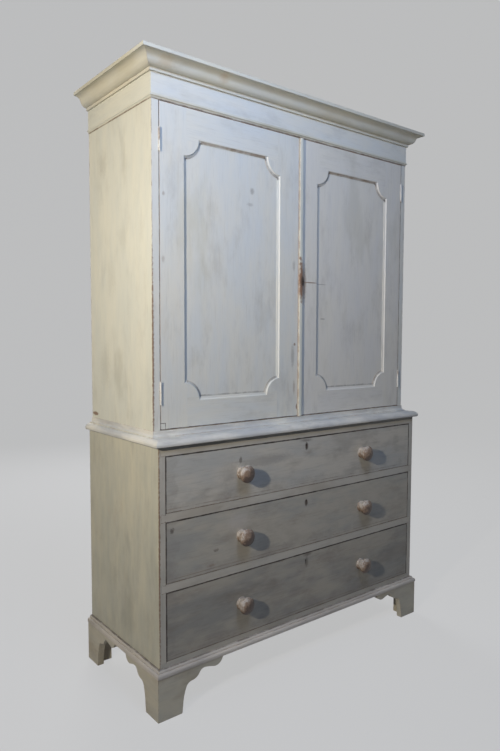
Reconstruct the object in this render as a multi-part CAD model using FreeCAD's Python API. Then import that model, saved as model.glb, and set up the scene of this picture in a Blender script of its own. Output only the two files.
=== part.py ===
"""Linen press in painted pine: a cupboard over three long drawers.

The chest stands on mitred bracket feet, holds three dovetailed drawers and has a moulded top.
The cupboard on it has two framed doors, whose sunk panels have indented corners, and three
shelves. A bead, a frieze and a cyma cornice finish the top.

Units are millimetres. While the pieces are made, X runs to the right, Y runs from the front face
of the chest to the back and Z up from the floor. The export moves Y so that its zero lies midway
between the knobs and the back.
"""

import FreeCAD, Part

import math
import os

# ---- chest of drawers ----
chest_width = 1200.0
chest_depth = 480.0
chest_side_thickness = 23.0
chest_bottom_thickness = 18.0
chest_top_thickness = 22.0
chest_top_overhang = 16.0
chest_top_thumb_width = 18.0
chest_top_thumb_height = 13.0
chest_top_under_radius = 5.0
bottom_rail_height = 38.0
divider_height = 26.0
top_rail_height = 28.0
rail_depth = 60.0
rail_tail_length = 15.0
rail_tail_depth = 40.0
rail_tail_flare = 4.0
bottom_opening_height = 213.0
middle_opening_height = 190.0
top_opening_height = 174.0
runner_width = 30.0
runner_thickness = 20.0
runner_housing = 6.0
drawer_stop_width = 40.0
drawer_stop_length = 28.0
drawer_stop_height = 5.0
drawer_stop_from_middle = 210.0

# ---- feet and plinth ----
foot_height = 133.0
foot_projection = 15.0
foot_thickness = 22.0
front_bracket_length = 238.0
front_leg_width = 84.0
side_bracket_length = 208.0
side_leg_width = 76.0
rear_bracket_length = 160.0
rear_bracket_leg_height = 66.0
foot_block_width = 38.0
foot_block_lift = 2.0
plinth_height = 22.0
plinth_projection = 17.0

# ---- cupboard ----
cupboard_inset = 12.0
cupboard_setback = 51.0
cupboard_side_thickness = 25.0
cupboard_bottom_thickness = 20.0
cupboard_top_thickness = 16.0
board_housing = 8.0
door_height = 976.0
door_thickness = 24.0
cove_width = 11.0
cove_lip = 2.5
shelf_thickness = 18.0
shelf_front_gap = 26.0
shelf_end_gap = 0.8
bearer_width = 20.0
bearer_height = 24.0
bearer_setback = 25.0
door_stop_width = 60.0
door_stop_depth = 14.0
door_stop_height = 12.0
door_stop_from_middle = 200.0

# ---- back boards of both stages ----
back_thickness = 10.0
back_rebate = 12.0
back_board_count = 6
tongue_length = 5.0
tongue_thickness = 3.5

# ---- bead, frieze and cornice ----
bead_projection = 6.0
bead_lip = 1.0
bead_hollow_height = 8.0
bead_fillet_height = 3.0
frieze_thickness = 20.0
frieze_projection = 2.0
frieze_height = 60.0
cornice_projection = 53.0
cornice_fillet_height = 9.0
cornice_fillet_projection = 8.0
cornice_cyma_height = 32.5
cornice_soffit = 4.0
cornice_edge_height = 10.5
cornice_back_thickness = 20.0

# ---- doors ----
door_gap = 1.5
meeting_gap = 2.4
hinge_stile_width = 95.3
left_meeting_stile_width = 95.4
right_meeting_stile_width = 100.0
door_top_rail_width = 97.5
door_bottom_rail_width = 93.5
frame_hollow_width = 10.0
frame_hollow_depth = 5.0
frame_hollow_knee_width = 3.5
frame_hollow_knee_depth = 3.2
panel_sink = 6.0
panel_thickness = 8.0
panel_groove = 8.0
panel_corner_radius = 55.0
tenon_length = 60.0
tenon_shoulder = 14.0
cover_strip_width = 15.0
cover_strip_thickness = 7.0
cover_strip_radius = 3.0

# ---- butt hinges ----
hinge_length = 70.0
hinge_end_distance = 76.0
hinge_leaf_width = 19.0
hinge_leaf_thickness = 1.6
hinge_knuckle_radius = 2.4
hinge_knuckle_count = 3
hinge_pin_radius = 1.1
hinge_barrel_sides = 16
hinge_face_clearance = 0.3
knuckle_end_gap = 0.3
pin_clearance = 0.05

# ---- drawers ----
drawer_front_thickness = 22.0
drawer_side_thickness = 12.0
drawer_back_thickness = 12.0
drawer_bottom_thickness = 7.0
drawer_bottom_groove = 6.0
drawer_bottom_lift = 10.0
drawer_back_gap = 30.0
drawer_side_gap = 1.5
drawer_top_gap = 1.5
drawer_front_lift = 0.8
running_clearance = 0.3
drawer_side_drop = 3.0
drawer_back_drop = 6.0
dovetail_lap = 7.0
dovetail_pitch = 54.0
dovetail_pin_width = 9.0
dovetail_slope = 1.0 / 6.0

# ---- knobs ----
knob_from_middle = 290.0
knob_diameter = 57.0
knob_projection = 44.0
knob_face_diameter = 32.0
knob_neck_diameter = 28.0
knob_neck_height = 7.0
knob_rim_start = 28.0
knob_rim_end = 34.0

# ---- locks and bolts ----
lock_width = 56.0
lock_height = 46.0
lock_depth = 12.0
lock_plate_thickness = 2.0
lock_plate_overlap = 6.0
lock_bolt_width = 18.0
lock_bolt_thickness = 6.0
lock_bolt_length = 20.0
lock_bolt_inset = 0.5
lock_bolt_travel = 8.0
lock_clearance = 0.4
keyhole_radius = 3.6
keyhole_slot_width = 3.2
keyhole_slot_length = 13.0
drawer_keyhole_drop = 26.0
door_lock_height = 480.0
door_keyhole_inset = 21.0

# ---- bolts on the left door ----
door_bolt_from_edge = 44.0
door_bolt_width = 9.0
door_bolt_thickness = 5.0
door_bolt_travel = 14.0
door_bolt_inset = 4.0
door_bolt_housing_height = 70.0
door_bolt_plate_width = 24.0
door_bolt_plate_thickness = 1.5
door_bolt_wall = 1.5
door_bolt_thumb_thickness = 4.0
door_bolt_thumb_length = 10.0
door_bolt_thumb_gap = 9.0

# ---- levels above the floor ----
z_case = foot_height
z_bottom_opening = z_case + bottom_rail_height
z_lower_divider = z_bottom_opening + bottom_opening_height
z_middle_opening = z_lower_divider + divider_height
z_upper_divider = z_middle_opening + middle_opening_height
z_top_opening = z_upper_divider + divider_height
z_top_rail = z_top_opening + top_opening_height
z_chest_top = z_top_rail + top_rail_height
z_cupboard = z_chest_top + chest_top_thickness
z_cupboard_floor = z_cupboard + cupboard_bottom_thickness
z_door = z_cupboard_floor + door_gap
z_door_top = z_door + door_height
z_cupboard_ceiling = z_door_top + door_gap
z_frieze = z_cupboard_ceiling + cupboard_top_thickness
z_cornice = z_frieze + frieze_height
z_cornice_edge = z_cornice + cornice_fillet_height + cornice_cyma_height
z_crown = z_cornice_edge + cornice_edge_height
z_door_lock = z_door + door_lock_height

# ---- places across and through ----
chest_half = chest_width / 2
chest_inner = chest_half - chest_side_thickness
cupboard_half = chest_half - cupboard_inset
cupboard_inner = cupboard_half - cupboard_side_thickness
door_outer = cupboard_inner - door_gap
door_meeting = meeting_gap / 2
y_back_boards = chest_depth - back_thickness
y_door_back = cupboard_setback + door_thickness
y_shelf_front = y_door_back + shelf_front_gap
y_drawer_back = y_back_boards - drawer_back_gap
y_drawer_lock = drawer_front_thickness - lock_depth
y_middle = (chest_depth - knob_projection) / 2
hinge_x = cupboard_inner - door_gap / 2
hinge_y = cupboard_setback - hinge_knuckle_radius - hinge_face_clearance
hinge_heights = (z_door + hinge_end_distance, z_door_top - hinge_end_distance - hinge_length)
drawers = (
    ("bottom", z_bottom_opening, bottom_opening_height),
    ("middle", z_middle_opening, middle_opening_height),
    ("top", z_top_opening, top_opening_height),
)

Vector = FreeCAD.Vector


# ---- outlines and plain shapes ----
def block(x0, x1, y0, y1, z0, z1):
    """A board between six planes."""
    return Part.makeBox(x1 - x0, y1 - y0, z1 - z0, Vector(x0, y0, z0))


def mapped(path, place):
    """Every point of a path put through place. A path item is a point, or (middle, end) of an arc."""
    return [tuple(place(*p) for p in item) if isinstance(item[0], tuple) else place(*item) for item in path]


def outline(path, place):
    """A flat face inside a closed path, which place makes three-dimensional."""
    edges = []
    placed = mapped(path, place)
    here = placed[0]
    for item in placed[1:] + placed[:1]:
        if isinstance(item, tuple):
            middle, end = item
            edges.append(Part.Arc(here, middle, end).toShape())
        else:
            end = item
            edges.append(Part.LineSegment(here, end).toShape())
        here = end
    return Part.Face(Part.Wire(edges))


def front_prism(path, y0, y1):
    """An outline drawn in X and Z, run from y0 back to y1."""
    return outline(path, lambda x, z: Vector(x, y0, z)).extrude(Vector(0, y1 - y0, 0))


def side_prism(path, x0, x1):
    """An outline drawn in Y and Z, run from x0 to x1."""
    return outline(path, lambda y, z: Vector(x0, y, z)).extrude(Vector(x1 - x0, 0, 0))


def plan_prism(path, z0, z1):
    """An outline drawn in X and Y, run up from z0 to z1."""
    return outline(path, lambda x, y: Vector(x, y, z0)).extrude(Vector(0, 0, z1 - z0))


def lifted(path, z0):
    """A path moved up by z0."""
    return mapped(path, lambda u, z: (u, z + z0))


def level_arc_middle(run, rise):
    """The middle of an arc that leaves its start level and ends run across and rise up."""
    radius = (run * run + rise * rise) / (2 * rise)
    half_turn = math.atan2(rise, run)
    return radius * math.sin(half_turn), radius * (1 - math.cos(half_turn))


def mirrored(shape):
    """The same piece on the other hand."""
    return shape.mirror(Vector(0, 0, 0), Vector(1, 0, 0))


def both_hands(shape):
    """A piece and its mirror image."""
    return [shape, mirrored(shape)]


def cut_all(shape, tools):
    """The shape with each tool taken out of it."""
    for tool in tools:
        shape = shape.cut(tool)
    return shape


def mitred_lengths(path, half_width, y_front):
    """Front, left and right lengths of one moulding, mitred at the front corners.

    The path gives the section: how far it stands out from the case, and its height.
    """
    y_far = y_front - half_width
    front = outline(path, lambda u, z: Vector(-2 * half_width, y_front - u, z))
    front = front.extrude(Vector(4 * half_width, 0, 0))
    right = outline(path, lambda u, z: Vector(half_width + u, y_far, z))
    right = right.extrude(Vector(0, chest_depth - y_far, 0))
    mitre = [(-2 * half_width, y_far), (2 * half_width, y_far), (0, y_front + half_width)]
    wedge = plan_prism(mitre, 0, 2 * z_crown)
    side = right.cut(wedge)
    return [front.common(wedge), mirrored(side), side]


def boarded_back(half_width, z0, z1):
    """Upright boards with tongues and grooves, filling a back from rebate to rebate."""
    width = 2 * half_width / back_board_count
    middle = y_back_boards + back_thickness / 2
    t0, t1 = middle - tongue_thickness / 2, middle + tongue_thickness / 2
    boards = []
    for n in range(back_board_count):
        x0 = -half_width + n * width
        x1 = x0 + width
        path = [(x0, y_back_boards), (x1, y_back_boards)]
        if n < back_board_count - 1:
            path += [(x1, t0), (x1 + tongue_length, t0), (x1 + tongue_length, t1), (x1, t1)]
        path += [(x1, chest_depth), (x0, chest_depth)]
        if n > 0:
            path += [(x0, t1), (x0 + tongue_length, t1), (x0 + tongue_length, t0), (x0, t0)]
        boards.append(plan_prism(path, z0, z1))
    return boards


# ---- chest of drawers ----
def bolt_socket(z0):
    """The mortise in a rail that the bolt of the drawer below rises into."""
    y0, y1 = drawer_bolt_span()
    c = lock_clearance
    half = lock_bolt_width / 2 + c
    return block(-half, half, y0 - c, y1 + c, z0, z0 + lock_bolt_travel + c)


def cross_rail(z0, height):
    """A front rail whose ends are dovetailed into the front edges of the chest's sides."""
    body = block(-chest_inner, chest_inner, 0, rail_depth, z0, z0 + height)
    end = chest_inner + rail_tail_length
    tail_path = [
        (chest_inner, z0 + rail_tail_flare),
        (end, z0),
        (end, z0 + height),
        (chest_inner, z0 + height - rail_tail_flare),
    ]
    for tail in both_hands(front_prism(tail_path, 0, rail_tail_depth)):
        body = body.fuse(tail)
    return body.removeSplitter()


def drawer_rails():
    """Bottom rail, the two dividers and top rail, with the mortises for the lock bolts."""
    rails = [cross_rail(z_case, bottom_rail_height)]
    rails += [cross_rail(z, divider_height).cut(bolt_socket(z)) for z in (z_lower_divider, z_upper_divider)]
    return rails + [cross_rail(z_top_rail, top_rail_height).cut(bolt_socket(z_top_rail))]


def drawer_runners():
    """A runner under each end of each drawer, and a kicker over each end of the top one."""
    spans = [(z_case + chest_bottom_thickness, z_bottom_opening)]
    spans += [(z - runner_thickness, z) for z in (z_middle_opening, z_top_opening)]
    spans += [(z_top_rail, z_chest_top)]
    x0, x1 = chest_inner - runner_width, chest_inner + runner_housing
    pieces = []
    for z0, z1 in spans:
        pieces += both_hands(block(x0, x1, rail_depth, y_back_boards, z0, z1))
    return pieces


def drawer_stops():
    """Low blocks on the rails that each drawer front closes against."""
    x0 = drawer_stop_from_middle
    x1 = x0 + drawer_stop_width
    y0 = drawer_front_thickness + running_clearance
    y1 = y0 + drawer_stop_length
    pieces = []
    for _, z0, _ in drawers:
        pieces += both_hands(block(x0, x1, y0, y1, z0, z0 + drawer_stop_height))
    return pieces


def chest_bottom():
    """The board under the bottom drawer, housed in both sides."""
    end = chest_inner + board_housing
    return block(-end, end, rail_depth, y_back_boards, z_case, z_case + chest_bottom_thickness)


def chest_side(tools):
    """The right-hand side, rebated for the back and cut for every board that enters it."""
    side = block(chest_inner, chest_half, 0, chest_depth, z_case, z_chest_top)
    rebate = block(chest_inner, chest_inner + back_rebate, y_back_boards, chest_depth, z_case, z_chest_top)
    return cut_all(side, [rebate] + tools)


def chest_top():
    """The chest's top, with a thumb moulding worked round its front and ends."""
    nose = chest_half + chest_top_overhang
    thumb = nose - chest_top_thumb_width
    under = nose - chest_top_under_radius
    knee = chest_top_thickness - chest_top_thumb_height
    run, rise = level_arc_middle(chest_top_thumb_width, chest_top_thumb_height)
    drop, lift = level_arc_middle(chest_top_under_radius, chest_top_under_radius)
    edge = [
        (under, 0),
        ((under + drop, lift), (nose, chest_top_under_radius)),
        (nose, knee),
        ((thumb + run, chest_top_thickness - rise), (thumb, chest_top_thickness)),
    ]
    from_front = mapped(edge, lambda u, z: (chest_half - u, z))
    across = edge + [(-thumb, chest_top_thickness)]
    across += [((-thumb - run, chest_top_thickness - rise), (-nose, knee)), (-nose, chest_top_under_radius)]
    across += [((-under - drop, lift), (-under, 0))]
    through = from_front + [(chest_depth, chest_top_thickness), (chest_depth, 0)]
    bar = front_prism(lifted(across, z_chest_top), -nose, nose)
    return bar.common(side_prism(lifted(through, z_chest_top), -nose, nose))


def plinth_moulding():
    """A double ovolo round the foot of the chest."""
    p, h = plinth_projection, plinth_height
    path = [
        (0, 0),
        (p, 0),
        (p, 0.25 * h),
        ((0.92 * p, 0.47 * h), (0.66 * p, 0.6 * h)),
        (0.54 * p, 0.6 * h),
        ((0.44 * p, 0.86 * h), (0.14 * p, h)),
        (0, h),
    ]
    return mitred_lengths(lifted(path, z_case), chest_half, 0)


# ---- bracket feet ----
def bracket_path(length, leg_width):
    """A bracket's face from its outer corner: the leg, two ogees and a lobe under the plinth."""

    def at(share_out, share_up):
        return leg_width + share_out * (length - leg_width), share_up * foot_height

    return [
        (0, 0),
        (leg_width, 0),
        at(0.02, 0.17),
        (at(0.05, 0.42), at(0.11, 0.62)),
        (at(0.17, 0.675), at(0.25, 0.695)),
        (at(0.345, 0.73), at(0.41, 0.8)),
        (at(0.46, 0.865), at(0.545, 0.893)),
        (at(0.66, 0.868), at(0.75, 0.837)),
        (at(0.9, 0.845), at(1.0, 1.0)),
        (0, foot_height),
    ]


def front_foot():
    """The right front foot: front bracket, side bracket and the glue block behind their mitre."""
    outer_x, outer_y = chest_half + foot_projection, -foot_projection
    inner_x, inner_y = outer_x - foot_thickness, outer_y + foot_thickness
    mitre = [(outer_x, outer_y), (outer_x - foot_height, outer_y + foot_height)]
    wedge = plan_prism(mitre + [(-outer_x, outer_y + foot_height), (-outer_x, outer_y)], 0, foot_height)
    face = mapped(bracket_path(front_bracket_length, front_leg_width), lambda u, z: (outer_x - u, z))
    front = front_prism(face, outer_y, inner_y).common(wedge)
    face = mapped(bracket_path(side_bracket_length, side_leg_width), lambda u, z: (outer_y + u, z))
    side = side_prism(face, inner_x, outer_x).cut(wedge)
    glue_block = block(
        inner_x - foot_block_width, inner_x, inner_y, inner_y + foot_block_width, foot_block_lift, foot_height
    )
    return [front, side, glue_block]


def rear_foot():
    """The right rear foot: shaped side bracket, plain bracket across the back and glue block."""
    outer_x = chest_half + foot_projection
    inner_x = outer_x - foot_thickness
    face = mapped(bracket_path(side_bracket_length, side_leg_width), lambda u, z: (chest_depth - u, z))
    y0 = chest_depth - foot_thickness
    plain = [
        (inner_x, 0),
        (outer_x - side_leg_width, 0),
        (outer_x - side_leg_width, rear_bracket_leg_height),
        (outer_x - rear_bracket_length, foot_height),
        (inner_x, foot_height),
    ]
    glue_block = block(
        inner_x - foot_block_width, inner_x, y0 - foot_block_width, y0, foot_block_lift, foot_height
    )
    return [side_prism(face, inner_x, outer_x), front_prism(plain, y0, chest_depth), glue_block]


# ---- cupboard ----
def cupboard_bottom():
    """The cupboard's floor, housed in both sides and cut for the lower door bolt."""
    end = cupboard_inner + board_housing
    board = block(-end, end, cupboard_setback, y_back_boards, z_cupboard, z_cupboard_floor)
    return board.cut(door_bolt_hole(z_cupboard_floor - door_bolt_travel, z_cupboard_floor))


def cupboard_top():
    """The cupboard's ceiling, housed in both sides and cut for the upper door bolt."""
    end = cupboard_inner + board_housing
    board = block(-end, end, cupboard_setback, y_back_boards, z_cupboard_ceiling, z_frieze)
    return board.cut(door_bolt_hole(z_cupboard_ceiling, z_cupboard_ceiling + door_bolt_travel))


def cupboard_side(tools):
    """The right-hand side, rebated for the back, housed for boards and sunk for the hinges."""
    x0, x1 = cupboard_inner, cupboard_half
    side = block(x0, x1, cupboard_setback, chest_depth, z_cupboard, z_frieze)
    rebate = block(x0, x0 + back_rebate, y_back_boards, chest_depth, z_cupboard, z_frieze)
    return cut_all(side, [rebate] + tools)


def shelf_levels():
    """The underside of each of three shelves, which part the cupboard into four equal spaces."""
    space = (z_cupboard_ceiling - z_cupboard_floor - 3 * shelf_thickness) / 4
    return [z_cupboard_floor + n * space + (n - 1) * shelf_thickness for n in (1, 2, 3)]


def shelves():
    """Three loose shelves."""
    end = cupboard_inner - shelf_end_gap
    return [block(-end, end, y_shelf_front, y_back_boards, z, z + shelf_thickness) for z in shelf_levels()]


def shelf_bearers():
    """A bearer on each side under each shelf."""
    x0, y0 = cupboard_inner - bearer_width, y_shelf_front + bearer_setback
    pieces = []
    for z in shelf_levels():
        pieces += both_hands(block(x0, cupboard_inner, y0, y_back_boards, z - bearer_height, z))
    return pieces


def door_stops():
    """Blocks under the ceiling and on the floor that the doors close against."""
    x0, x1 = door_stop_from_middle, door_stop_from_middle + door_stop_width
    y0 = y_door_back + running_clearance
    y1 = y0 + door_stop_depth
    low = block(x0, x1, y0, y1, z_cupboard_floor, z_cupboard_floor + door_stop_height)
    high = block(x0, x1, y0, y1, z_cupboard_ceiling - door_stop_height, z_cupboard_ceiling)
    return both_hands(low) + both_hands(high)


def waist_cove():
    """The hollow moulding that ties the cupboard to the chest's top."""
    w, h, lip = cove_width, cupboard_bottom_thickness, cove_lip
    run, rise = level_arc_middle(w - lip, w - lip)
    path = [(0, 0), (w, 0), (w, lip), ((w - run, lip + rise), (lip, w)), (lip, h), (0, h)]
    return mitred_lengths(lifted(path, z_cupboard), cupboard_half, cupboard_setback)


def frieze_bead():
    """A small hollow and fillet that cover the edge of the cupboard's top, under the frieze."""
    w, h = bead_projection, bead_hollow_height
    run, rise = level_arc_middle(h, w - bead_lip)
    path = [
        (0, 0),
        (bead_lip, 0),
        ((bead_lip + rise, run), (w, h)),
        (w, h + bead_fillet_height),
        (frieze_projection, h + bead_fillet_height),
        (frieze_projection, cupboard_top_thickness),
        (0, cupboard_top_thickness),
    ]
    return mitred_lengths(lifted(path, z_cupboard_ceiling), cupboard_half, cupboard_setback)


def frieze():
    """The flat boards that stand on the cupboard and carry the cornice, joined across the back."""
    u0, u1 = frieze_projection - frieze_thickness, frieze_projection
    path = [(u0, z_frieze), (u1, z_frieze), (u1, z_cornice_edge), (u0, z_cornice_edge)]
    end = cupboard_half + u0
    back = block(-end, end, chest_depth - cornice_back_thickness, chest_depth, z_frieze, z_cornice_edge)
    return mitred_lengths(path, cupboard_half, cupboard_setback) + [back]


def cornice_moulding():
    """Fillet, cyma recta and square edge, planted on the frieze."""
    u0, z0 = cornice_fillet_projection, z_cornice + cornice_fillet_height
    u1, z1 = cornice_projection - cornice_soffit, z_cornice_edge
    run, rise = level_arc_middle((u1 - u0) / 2, (z1 - z0) / 2)
    path = [
        (frieze_projection, z_cornice),
        (u0, z_cornice),
        (u0, z0),
        ((u0 + run, z0 + rise), ((u0 + u1) / 2, (z0 + z1) / 2)),
        ((u1 - run, z1 - rise), (u1, z1)),
        (cornice_projection, z1),
        (cornice_projection, z_crown),
        (frieze_projection, z_crown),
    ]
    return mitred_lengths(path, cupboard_half, cupboard_setback)


def cornice_top():
    """The dust board that closes the cornice, level with its edge."""
    end = cupboard_half + frieze_projection
    return block(-end, end, cupboard_setback - frieze_projection, chest_depth, z_cornice_edge, z_crown)


# ---- hinges ----
def leaf_span(side):
    """Where a leaf lies across: side is 1 for the case's leaf and -1 for the door's."""
    near = hinge_x + side * knuckle_end_gap / 2
    far = near + side * hinge_leaf_thickness
    return min(near, far), max(near, far)


def hinge_leaf(z0, side, own, others):
    """One leaf of a right-hand hinge with its own knuckles, clear of the other leaf's."""
    x0, x1 = leaf_span(side)
    leaf = block(x0, x1, hinge_y, cupboard_setback + hinge_leaf_width, z0, z0 + hinge_length)
    for start, length in others:
        clear = hinge_knuckle_radius + knuckle_end_gap
        leaf = leaf.cut(hinge_barrel(clear, start - knuckle_end_gap, length + 2 * knuckle_end_gap))
    for start, length in own:
        leaf = leaf.fuse(hinge_barrel(hinge_knuckle_radius, start, length))
    return leaf


def hinge_barrel(radius, z0, length):
    """A many-sided bar about the axis on which the right door turns."""
    turns = [2 * math.pi * n / hinge_barrel_sides for n in range(hinge_barrel_sides)]
    path = [(hinge_x + radius * math.cos(turn), hinge_y + radius * math.sin(turn)) for turn in turns]
    return plan_prism(path, z0, z0 + length)


def hinge(z0):
    """Case leaf, with the pin fixed in it, and door leaf of a right-hand butt hinge."""
    pitch = (hinge_length + knuckle_end_gap) / hinge_knuckle_count
    knuckles = [(z0 + n * pitch, pitch - knuckle_end_gap) for n in range(hinge_knuckle_count)]
    case_leaf = hinge_leaf(z0, 1, knuckles[0::2], knuckles[1::2])
    door_leaf = hinge_leaf(z0, -1, knuckles[1::2], knuckles[0::2])
    pin = hinge_barrel(hinge_pin_radius, z0, hinge_length)
    bore = hinge_barrel(hinge_pin_radius + pin_clearance, z0, hinge_length)
    return case_leaf.fuse(pin).removeSplitter(), door_leaf.cut(bore)


def hinge_sinking(z0, side):
    """The shallow seat for a leaf, in the case or in the door's edge."""
    x0, x1 = leaf_span(side)
    return block(x0, x1, cupboard_setback, cupboard_setback + hinge_leaf_width, z0, z0 + hinge_length)


# ---- doors ----
def hollow_path():
    """The hollow worked on a frame's inner edge: how far in from the flat face, and how deep."""
    knee = (frame_hollow_knee_width, frame_hollow_knee_depth)
    return [(0, 0), knee, (frame_hollow_width, frame_hollow_depth)]


def corner_round(x, z):
    """A round about a corner of the flat face, which widens towards the panel with the hollow."""
    rim = [(panel_corner_radius + out, deep) for out, deep in hollow_path()]
    path = [(0, 0)] + rim + [(panel_corner_radius + frame_hollow_width, panel_sink), (0, panel_sink)]
    face = outline(path, lambda out, deep: Vector(x + out, cupboard_setback + deep, z))
    return face.revolve(Vector(x, 0, z), Vector(0, 1, 0), 360)


def frame_hollows(x0, x1, z0, z1, rounds):
    """What the hollow takes out of two stiles and two rails whose flat faces end at these edges."""
    section = hollow_path() + [(frame_hollow_width, 0)]
    tools = []
    for edge, inwards in ((x0, 1), (x1, -1)):
        path = mapped(section, lambda out, deep: (edge + inwards * out, cupboard_setback + deep))
        tools.append(plan_prism(path, z0, z1))
    for edge, inwards in ((z0, 1), (z1, -1)):
        path = mapped(section, lambda out, deep: (cupboard_setback + deep, edge + inwards * out))
        tools.append(side_prism(path, x0, x1))
    return [cut_all(tool, rounds) for tool in tools]


def door(meeting_stile_width):
    """Stiles, rails, panel and corner blocks of a door, drawn right-handed."""
    y0, y1 = cupboard_setback, y_door_back
    x_left, x_right = door_meeting + meeting_stile_width, door_outer - hinge_stile_width
    z_low, z_high = z_door + door_bottom_rail_width, z_door_top - door_top_rail_width
    w = frame_hollow_width
    faces_end = (x_left - w, x_right + w, z_low - w, z_high + w)
    rounds = [corner_round(x, z) for x in faces_end[:2] for z in faces_end[2:]]
    hollows = frame_hollows(*faces_end, rounds)
    y_panel = y0 + panel_sink
    y_panel_back = y_panel + panel_thickness
    panel = block(
        x_left - panel_groove,
        x_right + panel_groove,
        y_panel,
        y_panel_back,
        z_low - panel_groove,
        z_high + panel_groove,
    )
    rails = []
    for z0, z1 in ((z_door, z_low), (z_high, z_door_top)):
        rail = cut_all(block(x_left, x_right, y0, y1, z0, z1), [panel] + hollows)
        tenons = block(
            x_left - tenon_length,
            x_right + tenon_length,
            y_panel,
            y_panel_back,
            z0 + tenon_shoulder,
            z1 - tenon_shoulder,
        )
        rails.append(rail.fuse(tenons).removeSplitter())
    cuts = rails + [panel] + hollows
    seats = [hinge_sinking(z, -1) for z in hinge_heights]
    meeting_stile = cut_all(block(door_meeting, x_left, y0, y1, z_door, z_door_top), cuts)
    hinge_stile = cut_all(block(x_right, door_outer, y0, y1, z_door, z_door_top), cuts + seats)
    sight = block(x_left, x_right, y0, y_panel, z_low, z_high)
    return {
        "stiles": [meeting_stile, hinge_stile],
        "rails": rails,
        "panel": [panel],
        "corner_blocks": [corner.common(sight) for corner in rounds],
    }


def cover_strip():
    """The round-edged strip on the right door that dresses the meeting of the doors."""
    x0, x1 = door_meeting, door_meeting + cover_strip_width
    y0, y1 = cupboard_setback - cover_strip_thickness, cupboard_setback
    r = cover_strip_radius
    far, near = level_arc_middle(r, r)
    path = [
        (x0, y1),
        (x0, y0 + r),
        ((x0 + r - far, y0 + near), (x0 + r, y0)),
        (x1 - r, y0),
        ((x1 - r + far, y0 + near), (x1, y0 + r)),
        (x1, y1),
    ]
    return plan_prism(path, z_door, z_door_top)


# ---- locks ----
def keyhole(x, y0, y1, z):
    """A round hole with a slot below it, run from y0 to y1."""
    barrel = Part.makeCylinder(keyhole_radius, y1 - y0, Vector(x, y0, z), Vector(0, 1, 0))
    half = keyhole_slot_width / 2
    return barrel.fuse(block(x - half, x + half, y0, y1, z - keyhole_slot_length, z)).removeSplitter()


def drawer_bolt_span():
    """Where a drawer's lock bolt lies from front to back."""
    middle = y_drawer_lock + lock_depth / 2
    return middle - lock_bolt_thickness / 2, middle + lock_bolt_thickness / 2


def drawer_lock(z_top):
    """Bed, case and bolt of a lock let into the back of a drawer front that ends at z_top."""
    y0, y1 = y_drawer_lock, drawer_front_thickness
    half, wide = lock_width / 2, lock_width / 2 + lock_plate_overlap
    bed = block(-half, half, y0, y1, z_top - lock_height, z_top)
    bed = bed.fuse(block(-wide, wide, y0, y1, z_top - lock_plate_thickness, z_top)).removeSplitter()
    b0, b1 = drawer_bolt_span()
    bolt_half, z_bolt_top = lock_bolt_width / 2, z_top - lock_bolt_inset
    z_bolt = z_bolt_top - lock_bolt_length
    bolt = block(-bolt_half, bolt_half, b0, b1, z_bolt, z_bolt_top)
    c = lock_clearance
    way = block(-bolt_half - c, bolt_half + c, b0 - c, b1 + c, z_bolt - c, z_top)
    return bed, bed.cut(way), bolt


def door_lock():
    """Bed, case, bolt and bolt socket of the lock let into the right door's meeting stile."""
    y0, y1 = y_door_back - lock_depth, y_door_back
    half, wide = lock_width / 2, lock_width / 2 + lock_plate_overlap
    x0, z = door_meeting, z_door_lock
    bed = block(x0, x0 + lock_height, y0, y1, z - half, z + half)
    bed = bed.fuse(block(x0, x0 + lock_plate_thickness, y0, y1, z - wide, z + wide)).removeSplitter()
    middle = (y0 + y1) / 2
    b0, b1 = middle - lock_bolt_thickness / 2, middle + lock_bolt_thickness / 2
    z0 = z + keyhole_radius + 2 * lock_clearance
    z1 = z0 + lock_bolt_width
    x_bolt = x0 + lock_bolt_inset
    bolt = block(x_bolt, x_bolt + lock_bolt_length, b0, b1, z0, z1)
    c = lock_clearance
    way = block(x0, x_bolt + lock_bolt_length + c, b0 - c, b1 + c, z0 - c, z1 + c)
    socket = block(-x0 - lock_bolt_travel, -x0, b0 - c, b1 + c, z0 - c, z1 + c)
    return bed, bed.cut(way), bolt, socket


# ---- bolts of the left door ----
def door_bolt_axis():
    """Across and through: the middle of the left door's bolts, and the back of their plates."""
    return -door_meeting - door_bolt_from_edge, y_door_back + door_bolt_plate_thickness


def door_bolt_hole(z0, z1):
    """The hole that a bolt of the left door shoots into."""
    x, y = door_bolt_axis()
    half = door_bolt_width / 2 + lock_clearance
    return block(x - half, x + half, y, y + door_bolt_thickness + 2 * lock_clearance, z0, z1)


def door_bolt(z_end, up):
    """Rod and housing of a bolt: z_end is the door's end, and up is 1 where the bolt shoots up."""
    x, y = door_bolt_axis()
    half = door_bolt_width / 2
    y_rod = y + lock_clearance
    y_rod_back = y_rod + door_bolt_thickness
    tip = z_end - up * door_bolt_inset
    housing_end = tip - up * door_bolt_housing_height
    z_thumb = housing_end - up * (door_bolt_travel + door_bolt_thumb_gap)
    z_foot = z_thumb - up * door_bolt_thumb_thickness
    rod = block(x - half, x + half, y_rod, y_rod_back, min(tip, z_foot), max(tip, z_foot))
    y_thumb = y_rod_back + door_bolt_thumb_length
    thumb = block(x - half, x + half, y_rod, y_thumb, min(z_thumb, z_foot), max(z_thumb, z_foot))
    z0, z1 = min(tip, housing_end), max(tip, housing_end)
    plate_half = door_bolt_plate_width / 2
    plate = block(x - plate_half, x + plate_half, y_door_back, y, z0, z1)
    way_half = half + lock_clearance
    y_way = y_rod_back + lock_clearance
    cover_half = way_half + door_bolt_wall
    cover = block(x - cover_half, x + cover_half, y, y_way + door_bolt_wall, z0, z1)
    way = block(x - way_half, x + way_half, y, y_way, z0, z1)
    return rod.fuse(thumb).removeSplitter(), plate.fuse(cover.cut(way)).removeSplitter()


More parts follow.
